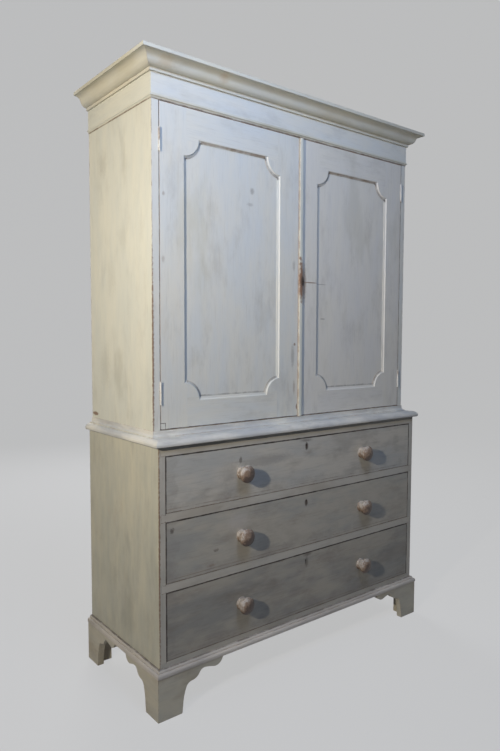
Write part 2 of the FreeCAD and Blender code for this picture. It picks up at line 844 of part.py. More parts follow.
# ---- drawers ----
def dovetail_rows(z0, z1):
    """Bottom and top of each tail along a joint, leaving a half pin at each end."""
    count = max(2, int(round((z1 - z0) / dovetail_pitch)))
    pitch = (z1 - z0) / count
    half_pin = dovetail_pin_width / 2
    return [(z0 + n * pitch + half_pin, z0 + (n + 1) * pitch - half_pin) for n in range(count)]


def drawer_side(inner, outer, z0, z1, z_front):
    """The right-hand side of a drawer with the tails that enter its front."""
    side = block(inner, outer, drawer_front_thickness, y_drawer_back, z0, z1)
    flare = (drawer_front_thickness - dovetail_lap) * dovetail_slope
    for low, high in dovetail_rows(z_front, z1):
        path = [
            (drawer_front_thickness, low + flare),
            (dovetail_lap, low),
            (dovetail_lap, high),
            (drawer_front_thickness, high - flare),
        ]
        side = side.fuse(side_prism(path, inner, outer))
    return side.removeSplitter()


def drawer_back(inner, outer, z0, z1):
    """The back of a drawer with the pins that pass through both sides."""
    y0 = y_drawer_back - drawer_back_thickness
    back = block(-inner, inner, y0, y_drawer_back, z0, z1)
    rows = dovetail_rows(z0, z1)
    flare = drawer_back_thickness * dovetail_slope
    edges = [z0] + [z for row in rows for z in row] + [z1]
    for n in range(0, len(edges), 2):
        low, high = edges[n], edges[n + 1]
        low_flare = flare if n > 0 else 0
        high_flare = flare if n + 2 < len(edges) else 0
        path = [(y0, low - low_flare), (y_drawer_back, low), (y_drawer_back, high), (y0, high + high_flare)]
        for pin in both_hands(side_prism(path, inner, outer)):
            back = back.fuse(pin)
    return back.removeSplitter()


def knob(x, z):
    """A turned knob: a neck, and a head with an upright rim that slopes in to a flat face."""
    path = [
        (0, 0),
        (knob_neck_diameter / 2, 0),
        (knob_neck_diameter / 2, knob_neck_height),
        (knob_diameter / 2, knob_rim_start),
        (knob_diameter / 2, knob_rim_end),
        (knob_face_diameter / 2, knob_projection),
        (0, knob_projection),
    ]
    face = outline(path, lambda out, up: Vector(x + out, -up, z))
    return face.revolve(Vector(x, 0, z), Vector(0, 1, 0), 360)


def drawer(label, z0, height):
    """All the nodes of one drawer, with its knobs and lock."""
    outer = chest_inner - drawer_side_gap
    inner = outer - drawer_side_thickness
    z_front, z_top = z0 + drawer_front_lift, z0 + height - drawer_top_gap
    z_side, z_side_top = z0 + running_clearance, z_top - drawer_side_drop
    z_bottom = z_side + drawer_bottom_lift
    z_back = z_bottom + drawer_bottom_thickness
    groove = drawer_bottom_groove
    y_groove = drawer_front_thickness - groove
    bottom = block(-inner - groove, inner + groove, y_groove, y_drawer_back, z_bottom, z_back)
    back = drawer_back(inner, outer, z_back, z_side_top - drawer_back_drop)
    sides = both_hands(cut_all(drawer_side(inner, outer, z_side, z_side_top, z_front), [back, bottom]))
    bed, lock_case, bolt = drawer_lock(z_top)
    key = keyhole(0, 0, y_drawer_lock, z_top - drawer_keyhole_drop)
    front = block(-outer, outer, 0, drawer_front_thickness, z_front, z_top)
    front = cut_all(front, sides + [bottom, bed, key])
    return {
        f"{label}_drawer_front": [front],
        f"{label}_drawer_box": sides + [back],
        f"{label}_drawer_bottom": [bottom],
        f"{label}_drawer_knobs": both_hands(knob(knob_from_middle, z0 + height / 2)),
        f"{label}_drawer_lock": [lock_case],
        f"{label}_drawer_lock_bolt": [bolt],
    }


# ---- assembly ----
def chest_nodes():
    """Every fixed piece of the chest of drawers."""
    rails, runners, bottom = drawer_rails(), drawer_runners(), chest_bottom()
    side = chest_side(rails + runners + [bottom])
    nodes = {
        "chest_side_left": [mirrored(side)],
        "chest_side_right": [side],
        "drawer_rails": rails,
        "drawer_guides": runners + drawer_stops(),
        "chest_bottom": [bottom],
        "chest_top": [chest_top()],
        "chest_back_boards": boarded_back(chest_inner + back_rebate, z_case, z_chest_top),
        "plinth_moulding": plinth_moulding(),
    }
    for end, pieces in (("front", front_foot()), ("rear", rear_foot())):
        nodes[f"{end}_foot_right"] = pieces
        nodes[f"{end}_foot_left"] = [mirrored(piece) for piece in pieces]
    return nodes


def cupboard_nodes():
    """Every fixed piece of the cupboard and its cornice."""
    bottom, top = cupboard_bottom(), cupboard_top()
    side = cupboard_side([bottom, top] + [hinge_sinking(z, 1) for z in hinge_heights])
    hinge_pieces = []
    for z in hinge_heights:
        hinge_pieces += both_hands(hinge(z)[0])
    return {
        "cupboard_side_left": [mirrored(side)],
        "cupboard_side_right": [side],
        "cupboard_bottom": [bottom],
        "cupboard_top": [top],
        "cupboard_back_boards": boarded_back(cupboard_inner + back_rebate, z_cupboard, z_frieze),
        "shelves": shelves(),
        "shelf_bearers": shelf_bearers(),
        "door_stops": door_stops(),
        "case_hinge_leaves": hinge_pieces,
        "waist_cove": waist_cove(),
        "frieze_bead": frieze_bead(),
        "frieze": frieze(),
        "cornice_moulding": cornice_moulding(),
        "cornice_top": [cornice_top()],
    }


def door_nodes():
    """Both doors with their hinge leaves, lock, bolts and cover strip."""
    bed, lock_case, lock_bolt, socket = door_lock()
    x_key = door_meeting + door_keyhole_inset
    key = keyhole(x_key, cupboard_setback, y_door_back - lock_depth, z_door_lock)
    leaves = [hinge(z)[1] for z in hinge_heights]
    right = door(right_meeting_stile_width)
    right["stiles"] = [cut_all(stile, [bed, key]) for stile in right["stiles"]]
    right["hinge_leaves"] = leaves
    left = door(left_meeting_stile_width)
    left = {name: [mirrored(piece) for piece in pieces] for name, pieces in left.items()}
    left["stiles"] = [stile.cut(socket) for stile in left["stiles"]]
    left["hinge_leaves"] = [mirrored(leaf) for leaf in leaves]
    upper_rod, upper_housing = door_bolt(z_door_top, 1)
    lower_rod, lower_housing = door_bolt(z_door, -1)
    nodes = {f"left_door_{name}": pieces for name, pieces in left.items()}
    nodes.update({f"right_door_{name}": pieces for name, pieces in right.items()})
    nodes["right_door_cover_strip"] = [cover_strip()]
    nodes["right_door_lock"] = [lock_case]
    nodes["right_door_lock_bolt"] = [lock_bolt]
    nodes["left_door_bolt_housings"] = [upper_housing, lower_housing]
    nodes["left_door_upper_bolt"] = [upper_rod]
    nodes["left_door_lower_bolt"] = [lower_rod]
    return nodes


def main():
    """Makes every node and writes one STEP file for each."""
    os.makedirs("parts", exist_ok=True)
    nodes = {**chest_nodes(), **cupboard_nodes(), **door_nodes()}
    for label, z0, height in drawers:
        nodes.update(drawer(label, z0, height))
    for name, pieces in nodes.items():
        solids = [solid for piece in pieces for solid in piece.Solids]
        shape = solids[0] if len(solids) == 1 else Part.makeCompound(solids)
        shape.translate(Vector(0, -y_middle, 0))
        shape.exportStep(f"parts/{name}.step")


main()
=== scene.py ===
"""Looks of a painted linen press: finishes, turned knobs, small ironwork and a plain studio.

Every length is in metres. X runs to the right, Y from the front to the back and Z up from the
floor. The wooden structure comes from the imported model. This script gives each of its nodes a
finish and adds the small pieces that the structure leaves out.
"""

from __future__ import annotations

import logging
import math
from dataclasses import dataclass, field, replace
from enum import Enum
from functools import reduce
from typing import Protocol, Sequence

import bmesh
import bpy
from mathutils import Matrix, Vector

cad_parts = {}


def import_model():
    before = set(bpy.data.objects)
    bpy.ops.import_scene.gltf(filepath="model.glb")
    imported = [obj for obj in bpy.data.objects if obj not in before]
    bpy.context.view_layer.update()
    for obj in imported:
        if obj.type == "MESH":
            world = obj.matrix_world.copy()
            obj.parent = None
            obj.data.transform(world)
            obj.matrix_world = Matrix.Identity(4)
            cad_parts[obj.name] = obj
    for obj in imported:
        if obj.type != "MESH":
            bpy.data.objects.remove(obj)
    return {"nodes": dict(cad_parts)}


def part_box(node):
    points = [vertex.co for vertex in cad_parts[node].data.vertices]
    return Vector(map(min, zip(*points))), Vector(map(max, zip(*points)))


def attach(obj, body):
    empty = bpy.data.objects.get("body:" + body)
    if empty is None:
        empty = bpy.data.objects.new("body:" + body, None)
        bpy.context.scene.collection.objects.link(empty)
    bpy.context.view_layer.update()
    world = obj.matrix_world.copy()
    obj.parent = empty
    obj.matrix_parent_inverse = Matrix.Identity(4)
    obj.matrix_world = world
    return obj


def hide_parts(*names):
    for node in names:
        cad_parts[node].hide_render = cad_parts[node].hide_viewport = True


log = logging.getLogger("linen_press")

BMesh = bmesh.types.BMesh
Material = bpy.types.Material
Node = bpy.types.Node
Piece = bpy.types.Object
Socket = bpy.types.NodeSocket
Colour = tuple[float, float, float]
Triple = tuple[float, float, float]
Inputs = dict[str | int, object]
Nodes = dict[str, Piece]

BUMP_STRENGTH = 0.6
BACKWARDS, DOWNWARDS = (0.0, 1.0, 0.0), (0.0, 0.0, -1.0)


class Grain(Enum):
    """The way that brush strokes and wood grain run, as the share of detail left along each axis."""

    ACROSS = (0.045, 1.0, 1.0)
    THROUGH = (1.0, 0.045, 1.0)
    UPRIGHT = (1.0, 1.0, 0.045)
    AROUND = (0.045, 0.045, 1.0)

    def eased(self, share: float) -> Triple:
        """The same with less stretch: a share of 0 leaves it whole and 1 takes it away."""
        return tuple(share + (1.0 - share) * left for left in self.value)


class Axis(Enum):
    """An axis of the object."""

    X = 0
    Y = 1
    Z = 2


class Side(Enum):
    """The hand of a door or of a side board."""

    LEFT = -1
    RIGHT = 1


class Head(Enum):
    """The head of a fastener."""

    SCREW = "slotted"
    NAIL = "low and round"


# ---- node trees ----
class Tree:
    """Short calls for building a node tree."""

    def __init__(self, owner: Material | bpy.types.World) -> None:
        """Starts with an empty tree.

        Args:
            owner: the material or world that the tree belongs to.
        """
        owner.use_nodes = True
        self.tree = owner.node_tree
        self.tree.nodes.clear()

    def node(self, kind: str, inputs: Inputs | None = None, **settings: object) -> Node:
        """Adds a node.

        Args:
            kind: the node's class name after ShaderNode.
            inputs: what feeds its inputs, by name or number.
            settings: properties of the node by name.

        Returns:
            The new node.
        """
        made = self.tree.nodes.new(f"ShaderNode{kind}")
        for key, value in settings.items():
            setattr(made, key, value)
        for key, value in (inputs or {}).items():
            self.feed(made.inputs[key], value)
        return made

    def feed(self, socket: Socket, value: object) -> None:
        """Links a socket to another, or sets its value.

        Args:
            socket: the input.
            value: an output socket, a number, a colour or a vector.
        """
        if isinstance(value, Socket):
            self.tree.links.new(value, socket)
        elif isinstance(value, tuple) and socket.type == "RGBA":
            socket.default_value = (*value, 1.0)
        else:
            socket.default_value = value

    def math(self, operation: str, *values: object) -> Socket:
        """One step of arithmetic on sockets or numbers."""
        return self.node("Math", dict(enumerate(values)), operation=operation).outputs[0]

    def total(self, *values: object) -> Socket:
        """The sum of sockets or numbers."""
        return reduce(lambda first, second: self.math("ADD", first, second), values)

    def times(self, first: object, second: object) -> Socket:
        """The product of two sockets or numbers."""
        return self.math("MULTIPLY", first, second)

    def away(self, value: object, level: float) -> Socket:
        """How far a value is from a level, on either side."""
        return self.math("ABSOLUTE", self.math("SUBTRACT", value, level))

    def length(self, across: Socket, up: Socket) -> Socket:
        """The straight distance that two distances at right angles make."""
        return self.math("SQRT", self.total(self.times(across, across), self.times(up, up)))

    def swing(self, value: object, amount: float) -> Socket:
        """Noise between 0 and 1 made to swing by plus or minus half the amount."""
        return self.times(self.math("SUBTRACT", value, 0.5), amount)

    def seen(self) -> Socket:
        """Whether a ray comes from the camera, also by way of a reflection or a clear surface.

        Returns:
            A socket that is 1 or 0.
        """
        rays = self.node("LightPath").outputs
        seen = self.math("MAXIMUM", rays["Is Camera Ray"], rays["Is Glossy Ray"])
        return self.math("MAXIMUM", seen, rays["Is Transmission Ray"])


class Graph(Tree):
    """The node tree of a material that ends in a Principled shader."""

    def __init__(self, name: str) -> None:
        """Starts the material.

        Args:
            name: the material's name.
        """
        self.material = bpy.data.materials.new(name)
        super().__init__(self.material)
        self.shader = self.node("BsdfPrincipled")
        self.output = self.node("OutputMaterial", {"Surface": self.shader.outputs["BSDF"]})
        self.place = self.node("TexCoord").outputs["Object"]
        self.split = self.node("SeparateXYZ", {0: self.place})

    def along(self, axis: Axis) -> Socket:
        """The place on one axis, in metres."""
        return self.split.outputs[axis.value]

    def mapped(self, scale: Triple, move: Triple = (0.0, 0.0, 0.0)) -> Socket:
        """Object coordinates, scaled and then moved."""
        return self.node("Mapping", {"Vector": self.place, "Scale": scale, "Location": move}).outputs[0]

    def noise(self, vector: Socket, scale: float, detail: float = 3.0, roughness: float = 0.55) -> Socket:
        """Cloudy noise from 0 to 1: clouds to a metre, finer layers and how strong those are."""
        inputs = {"Vector": vector, "Scale": scale, "Detail": detail, "Roughness": roughness}
        return self.node("TexNoise", inputs).outputs["Fac"]

    def ramp(self, value: object, low: float, high: float, start: float = 0.0, end: float = 1.0) -> Socket:
        """A smooth step from start to end as the value goes from low to high."""
        inputs = {"Value": value, "From Min": low, "From Max": high, "To Min": start, "To Max": end}
        return self.node("MapRange", inputs, interpolation_type="SMOOTHSTEP").outputs["Result"]

    def mix(self, share: object, first: object, second: object) -> Socket:
        """A blend of two colours, where the share says how much of the second one shows."""
        return self.node("Mix", {0: share, 6: first, 7: second}, data_type="RGBA").outputs[2]

    def edge(self, radius: float) -> Socket:
        """Nearness to an edge of the piece.

        Args:
            radius: how far from an edge it reaches.

        Returns:
            A value socket that is 0 on the flat and rises towards an edge.
        """
        bevel = self.node("Bevel", {"Radius": radius}, samples=4).outputs["Normal"]
        normal = self.node("NewGeometry").outputs["Normal"]
        dot = self.node("VectorMath", {0: bevel, 1: normal}, operation="DOT_PRODUCT")
        return self.math("SUBTRACT", 1.0, dot.outputs["Value"])

    def finish(self, colour: object, roughness: object, height: object, depth: float) -> Material:
        """Feeds the shader.

        Args:
            colour: a colour or colour socket.
            roughness: a number or value socket.
            height: the socket that gives the relief.
            depth: how deep the relief is, in metres.

        Returns:
            The finished material.
        """
        bump = self.node("Bump", {"Strength": BUMP_STRENGTH, "Distance": depth, "Height": height})
        for name, value in (("Base Color", colour), ("Roughness", roughness), ("Normal", bump.outputs[0])):
            self.feed(self.shader.inputs[name], value)
        return self.material


# ---- wear: each kind gives the share of its own colour that shows ----
class Wear(Protocol):
    """Anything that marks a finished surface."""

    colour: Colour

    def share(self, graph: Graph) -> Socket:
        """How much of the wear shows, from 0 to 1."""


@dataclass(frozen=True)
class Spot:
    """A soft, slightly ragged place: a stain, a chip or a scratch."""

    centre: Triple
    reach: Triple
    colour: Colour
    strength: float = 1.0
    softness: float = 0.35
    ragged: float = 1.1
    fray: float = 120.0

    def share(self, graph: Graph) -> Socket:
        """How much of the spot shows.

        Args:
            graph: the node tree to add to.

        Returns:
            A value socket.
        """
        scale = tuple(1.0 / r for r in self.reach)
        move = tuple(-c / r for c, r in zip(self.centre, self.reach))
        length = graph.node("VectorMath", {0: graph.mapped(scale, move)}, operation="LENGTH")
        outline = graph.swing(graph.noise(graph.place, self.fray), self.ragged)
        distance = graph.total(length.outputs["Value"], outline)
        return graph.ramp(distance, 1.0 - self.softness, 1.0 + self.softness, self.strength, 0.0)


@dataclass(frozen=True)
class Line:
    """Broken wear or dirt along an edge that lies in one plane across an axis."""

    axis: Axis
    level: float
    reach: float
    colour: Colour
    strength: float = 0.8
    broken: float = 0.85
    clumps: float = 30.0
    span_axis: Axis | None = None
    span: tuple[float, float] = (0.0, 0.0)

    def share(self, graph: Graph) -> Socket:
        """How much of the line shows, over its whole length or over a span on another axis.

        Args:
            graph: the node tree to add to.

        Returns:
            A value socket.
        """
        clumps = graph.noise(graph.place, self.clumps, 4.0, 0.65)
        ragged = graph.swing(clumps, -2.5 * self.reach * self.broken)
        distance = graph.total(graph.away(graph.along(self.axis), self.level), ragged)
        near = graph.ramp(distance, 0.6 * self.reach, self.reach, 1.0, 0.0)
        if self.span_axis:
            middle, half = sum(self.span) / 2, (self.span[1] - self.span[0]) / 2
            aside = graph.away(graph.along(self.span_axis), middle)
            near = graph.times(near, graph.ramp(aside, half - 0.001, half + 0.001, 1.0, 0.0))
        faint = self.strength * (1.0 - self.broken)
        return graph.times(near, graph.ramp(clumps, 0.36, 0.6, faint, self.strength))


@dataclass(frozen=True)
class Arris:
    """Broken wear along every outer edge of a piece."""

    colour: Colour = (0.17, 0.09, 0.06)
    reach: float = 0.0035
    strength: float = 0.8
    clumps: float = 34.0

    def share(self, graph: Graph) -> Socket:
        """How much of the wear shows: clumps along the edges, with a faint trace between them."""
        clumps = graph.ramp(graph.noise(graph.place, self.clumps, 4.0, 0.65), 0.42, 0.6, 0.1, self.strength)
        return graph.times(graph.ramp(graph.edge(self.reach), 0.015, 0.16), clumps)


@dataclass(frozen=True)
class Clouds:
    """Thin grime in wide soft clouds, drawn out along the grain."""

    colour: Colour
    scale: float
    grain: Grain
    strength: float = 0.5
    cover: float = 0.5

    def share(self, graph: Graph) -> Socket:
        """How much of the grime shows.

        Args:
            graph: the node tree to add to.

        Returns:
            A value socket.
        """
        clouds = graph.noise(graph.mapped(self.grain.eased(0.35), (0.0, 0.0, 3.7)), self.scale, 4.0, 0.6)
        level = 0.68 - 0.32 * self.cover
        return graph.ramp(clouds, level, level + 0.16, 0.0, self.strength)


# ---- finishes ----
class Finish(Protocol):
    """Anything that can cover a part of a board."""

    def colour(self, graph: Graph, grain: Grain) -> Socket:
        """The colour of the finish."""


@dataclass(frozen=True)
class Coat:
    """Another finish on the part of a board past a level on one axis."""

    finish: Finish
    axis: Axis
    level: float
    above: bool = True

    def share(self, graph: Graph) -> Socket:
        """How much of the coat shows, with a border that is less than a millimetre wide."""
        ends = (0.0, 1.0) if self.above else (1.0, 0.0)
        return graph.ramp(graph.along(self.axis), self.level - 0.0004, self.level + 0.0004, *ends)


@dataclass(frozen=True)
class PineFinish:
    """Dry, unpainted old pine with knots."""

    early: Colour = (0.56, 0.41, 0.25)
    late: Colour = (0.36, 0.23, 0.12)
    dust: Colour = (0.45, 0.38, 0.30)
    knot: Colour = (0.17, 0.09, 0.045)
    knots_to_metre: float = 5.5
    roughness: float = 0.78
    relief: float = 0.0006

    def colour(self, graph: Graph, grain: Grain) -> Socket:
        """The wood's colour: growth rings drawn out along the grain, knots and dust.

        Args:
            graph: the node tree to add to.
            grain: the way the grain runs.

        Returns:
            A colour socket.
        """
        cells = {"Vector": graph.mapped(grain.eased(0.4)), "Scale": self.knots_to_metre}
        away = graph.node("TexVoronoi", cells).outputs["Distance"]
        along = graph.mapped(grain.value)
        rings = graph.total(graph.noise(along, 34.0, 4.0, 0.6), graph.ramp(away, 0.05, 0.26, 0.3, 0.0))
        fibres = graph.noise(along, 330.0, 2.0, 0.5)
        wood = graph.mix(graph.ramp(rings, 0.42, 0.62), self.early, self.late)
        wood = graph.mix(graph.ramp(fibres, 0.45, 0.75, 0.0, 0.35), wood, self.late)
        wood = graph.mix(graph.ramp(away, 0.055, 0.085, 0.9, 0.0), wood, self.knot)
        return graph.mix(graph.ramp(graph.noise(graph.place, 5.0), 0.35, 0.7, 0.1, 0.5), wood, self.dust)

    def sawn(self, graph: Graph, colour: Socket, grain: Grain) -> Material:
        """Gives a colour the wood's roughness and relief."""
        relief = graph.noise(graph.mapped(grain.value), 240.0, 3.0, 0.6)
        return graph.finish(colour, self.roughness, relief, self.relief)

    def material(self, name: str, grain: Grain) -> Material:
        """A whole material of bare pine."""
        graph = Graph(name)
        return self.sawn(graph, self.colour(graph, grain), grain)


@dataclass(frozen=True)
class PaintFinish:
    """Old brushed paint: a cream coat under a thin cool wash, soiled by use."""

    cream: Colour
    wash: Colour
    wash_share: float = 0.5
    streaks: float = 0.5
    clouds: float = 0.6
    soil: Colour = (0.25, 0.23, 0.20)
    soil_share: float = 0.22
    roughness: float = 0.62
    relief: float = 0.0007

    def colour(self, graph: Graph, grain: Grain) -> Socket:
        """The paint's colour.

        Args:
            graph: the node tree to add to.
            grain: the way the brush strokes run.

        Returns:
            A colour socket.
        """
        brushed, drawn = graph.mapped(grain.eased(0.17)), graph.mapped(grain.eased(0.35), (1.3, 0.4, 2.1))
        strokes = graph.swing(graph.noise(brushed, 30.0, 6.0, 0.6), 2.0 * self.streaks)
        broad = graph.swing(graph.noise(drawn, 8.0, 4.0, 0.6), 2.0 * self.clouds)
        cover = graph.ramp(graph.total(strokes, broad), -self.wash_share, 1.0 - self.wash_share)
        colour = graph.mix(cover, self.cream, self.wash)
        hairs = graph.noise(graph.mapped(grain.value), 260.0, 3.0, 0.6)
        colour = graph.mix(graph.ramp(hairs, 0.5, 0.8, 0.0, 0.6 * self.soil_share), colour, self.soil)
        blotches = graph.noise(drawn, 15.0, 6.0, 0.68)
        return graph.mix(graph.ramp(blotches, 0.48, 0.78, 0.0, self.soil_share), colour, self.soil)

    def material(
        self, name: str, grain: Grain, coats: Sequence[Coat] = (), wear: Sequence[Wear] = ()
    ) -> Material:
        """A whole material of this paint.

        Args:
            name: the material's name.
            grain: the way the brush strokes run.
            coats: other finishes on parts of the board.
            wear: marks on it, the last one uppermost.

        Returns:
            The material.
        """
        graph = Graph(name)
        colour = self.colour(graph, grain)
        for coat in coats:
            colour = graph.mix(coat.share(graph), colour, coat.finish.colour(graph, grain))
        for mark in wear:
            colour = graph.mix(mark.share(graph), colour, mark.colour)
        along = graph.mapped(grain.value)
        strokes, hairs = graph.noise(along, 70.0, 3.0, 0.6), graph.noise(along, 300.0, 2.0, 0.5)
        height = graph.total(graph.times(strokes, 0.7), graph.times(hairs, 0.3))
        sheen = graph.noise(graph.place, 14.0)
        rough = graph.ramp(sheen, 0.3, 0.7, self.roughness - 0.08, self.roughness + 0.1)
        return graph.finish(colour, rough, height, self.relief)


@dataclass(frozen=True)
class IronFinish:
    """Wrought or cast iron, dark and a little rusty."""

    iron: Colour = (0.10, 0.095, 0.09)
    rust: Colour = (0.20, 0.10, 0.05)
    roughness: float = 0.55
    relief: float = 0.0004

    def patches(self, graph: Graph) -> Socket:
        """Where it has rusted."""
        return graph.noise(graph.place, 90.0, 5.0, 0.65)

    def colour(self, graph: Graph, grain: Grain) -> Socket:
        """The iron's colour, which doesn't follow the grain."""
        return graph.mix(graph.ramp(self.patches(graph), 0.45, 0.7), self.iron, self.rust)

    def material(self, name: str) -> Material:
        """A whole material of old iron.

        Args:
            name: the material's name.

        Returns:
            The material.
        """
        graph = Graph(name)
        graph.feed(graph.shader.inputs["Metallic"], 0.6)
        patches = self.patches(graph)
        rough = graph.ramp(patches, 0.35, 0.7, self.roughness - 0.12, self.roughness + 0.25)
        return graph.finish(self.colour(graph, Grain.ACROSS), rough, patches, self.relief)


@dataclass(frozen=True)
class KnobFinish:
    """Cream paint on turned wood, rubbed through to brown in patches, with painted shade that darkens it
    towards the bottom and the right.
    """

    cream: Colour = (0.49, 0.45, 0.41)
    stain: Colour = (0.20, 0.13, 0.085)
    wood: Colour = (0.065, 0.04, 0.032)
    shade_downwards: float = 9.0
    shade_rightwards: float = 6.0
    wear_outwards: float = 4.0
    rim_depth: float = 0.243
    rings: float = 260.0
    relief: float = 0.0005

    def material(self, name: str, offset: float, height: float) -> Material:
        """A whole material of worn paint on a pair of turned knobs.

        Args:
            name: the material's name.
            offset: how far each knob's axis is from the middle of the drawer.
            height: the height of the axes.

        Returns:
            The material.
        """
        graph = Graph(name)
        across, depth = graph.along(Axis.X), graph.along(Axis.Y)
        out = graph.math("SUBTRACT", graph.math("ABSOLUTE", across), offset)
        up = graph.math("SUBTRACT", graph.along(Axis.Z), height)
        turned = graph.node("CombineXYZ", {0: graph.length(out, up), 1: depth}).outputs[0]
        rings = graph.noise(turned, self.rings, 2.0, 0.5)
        # the mask mixes patchy wear with painted shade: it grows towards the bottom and the right, away from
        # the light
        wear_and_shade = graph.total(
            graph.noise(graph.place, 62.0, 6.0, 0.7),
            graph.swing(rings, 0.2),
            graph.times(up, -self.shade_downwards),
            graph.times(graph.times(out, graph.math("SIGN", across)), self.shade_rightwards),
            graph.times(depth, -self.wear_outwards),
            -self.wear_outwards * self.rim_depth,
        )
        colour = graph.mix(graph.ramp(wear_and_shade, 0.18, 0.42, 0.0, 0.9), self.cream, self.stain)
        colour = graph.mix(graph.ramp(wear_and_shade, 0.42, 0.62, 0.0, 0.9), colour, self.wood)
        colour = graph.mix(graph.ramp(rings, 0.55, 0.75, 0.0, 0.3), colour, self.wood)
        return graph.finish(colour, graph.ramp(wear_and_shade, 0.4, 0.7, 0.5, 0.36), rings, self.relief)


# ---- mesh helpers ----
def new_piece(name: str, mesh: BMesh, finish: Material) -> Piece:
    """Turns a bmesh into an object of the scene.

    Args:
        name: the piece's name.
        mesh: the shape, which is freed here.
        finish: its material.

    Returns:
        The object.
    """
    bmesh.ops.remove_doubles(mesh, verts=mesh.verts, dist=1e-6)
    mesh.verts.index_update()
    for parts in (mesh.edges, mesh.faces):  # some operators leave them in an order that varies
        parts.sort(key=lambda part: hash(tuple(sorted(vert.index for vert in part.verts))))
    bmesh.ops.recalc_face_normals(mesh, faces=mesh.faces)
    data = bpy.data.meshes.new(name)
    mesh.to_mesh(data)
    mesh.free()
    data.materials.append(finish)
    piece = bpy.data.objects.new(name, data)
    bpy.context.scene.collection.objects.link(piece)
    return piece


def smooth(piece: Piece, angle: float = 1.0) -> None:
    """Shades a piece smooth, apart from edges that turn by more than an angle in radians."""
    piece.data.polygons.foreach_set("use_smooth", [True] * len(piece.data.polygons))
    piece.data.set_sharp_from_angle(angle=angle)


def arc(
    centre: tuple[float, float], radius: float, start: float, end: float, count: int
) -> list[tuple[float, float]]:
    """Points along an arc of a profile.

    Args:
        centre: the arc's centre, out from the axis and along it.
        radius: the arc's radius.
        start: the first angle in degrees, where 0 points away from the axis.
        end: the last angle.
        count: how many points.

    Returns:
        The points, each out from the axis and along it.
    """
    turns = [math.radians(start + (end - start) * n / (count - 1)) for n in range(count)]
    return [(centre[0] + radius * math.cos(t), centre[1] + radius * math.sin(t)) for t in turns]


# ---- small ironwork ----
@dataclass(frozen=True)
class Seat:
    """Where a fastener sits: the middle of its head's seat, the way it faces and its slot's turn."""

    place: Triple
    facing: Triple
    turn: float = 0.0


@dataclass
class Fasteners:
    """Screws or nails of one kind on one body."""

    name: str
    body: str
    seats: list[Seat]
    radius: float = 0.0032
    proud: float = 0.0001
    slot_width: float = 0.0009
    segments: int = 16
    slot: str = "lock_iron"
    head: Head = Head.SCREW

    def screw(self, mesh: BMesh) -> None:
        """Makes one slotted head that faces up, with its seat at the origin.

        Args:
            mesh: the mesh to add to.
        """
        bmesh.ops.create_circle(mesh, cap_ends=True, radius=self.radius, segments=self.segments)
        geom = mesh.verts[:] + mesh.edges[:] + mesh.faces[:]
        cut = (0.0, self.slot_width / 2, 0.0)
        bmesh.ops.bisect_plane(mesh, geom=geom, plane_co=cut, plane_no=(0.0, 1.0, 0.0), clear_inner=True)
        grown = bmesh.ops.extrude_face_region(mesh, geom=mesh.faces[:])["geom"]
        raised = [item for item in grown if isinstance(item, bmesh.types.BMVert)]
        bmesh.ops.translate(mesh, verts=raised, vec=(0.0, 0.0, self.proud))
        geom = mesh.verts[:] + mesh.edges[:] + mesh.faces[:]
        bmesh.ops.mirror(mesh, geom=geom, matrix=Matrix.Identity(4), merge_dist=1e-6, axis="Y")
        inner = 0.98 * self.radius
        floor = bmesh.ops.create_circle(mesh, cap_ends=True, radius=inner, segments=self.segments)
        bmesh.ops.translate(mesh, verts=floor["verts"], vec=(0.0, 0.0, 0.3 * self.proud))

    def nail(self, mesh: BMesh) -> None:
        """Makes one low round nail head that faces up, with its seat at the origin.

        Args:
            mesh: the mesh to add to.
        """
        made = bmesh.ops.create_cone(
            mesh, cap_ends=True, segments=8, radius1=self.radius, radius2=0.6 * self.radius, depth=self.proud
        )
        bmesh.ops.translate(mesh, verts=made["verts"], vec=(0.0, 0.0, self.proud / 2))

    def build(self, finish: Material) -> Piece:
        """Sets a head on every seat.

        Args:
            finish: the metal.

        Returns:
            The piece.
        """
        head = bmesh.new()
        make = {Head.SCREW: self.screw, Head.NAIL: self.nail}[self.head]
        make(head)
        pattern = bpy.data.meshes.new(f"{self.name}_pattern")
        head.to_mesh(pattern)
        head.free()
        whole = bmesh.new()
        for seat in self.seats:
            count = len(whole.verts)
            whole.from_mesh(pattern)
            aim = Vector(seat.facing).to_track_quat("Z", "Y").to_matrix().to_4x4()
            turn = Matrix.Rotation(math.radians(seat.turn), 4, "Z")
            matrix = Matrix.Translation(seat.place) @ aim @ turn
            bmesh.ops.transform(whole, verts=whole.verts[:][count:], matrix=matrix)
        bpy.data.meshes.remove(pattern)
        piece = new_piece(self.name, whole, finish)
        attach(piece, self.body)
        log.info("made %s", piece.name)
        return piece


# ---- sub-assemblies ----
@dataclass
class Assembly:
    """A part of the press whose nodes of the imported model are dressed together."""

    nodes: Nodes

    def dress(self, material: Material, *names: str) -> None:
        """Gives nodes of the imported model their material.

        Args:
            material: the finish.
            names: the nodes' names.
        """
        for name in names:
            data = self.nodes[name].data
            data.materials.clear()
            data.materials.append(material)
            log.info("dressed %s", name)


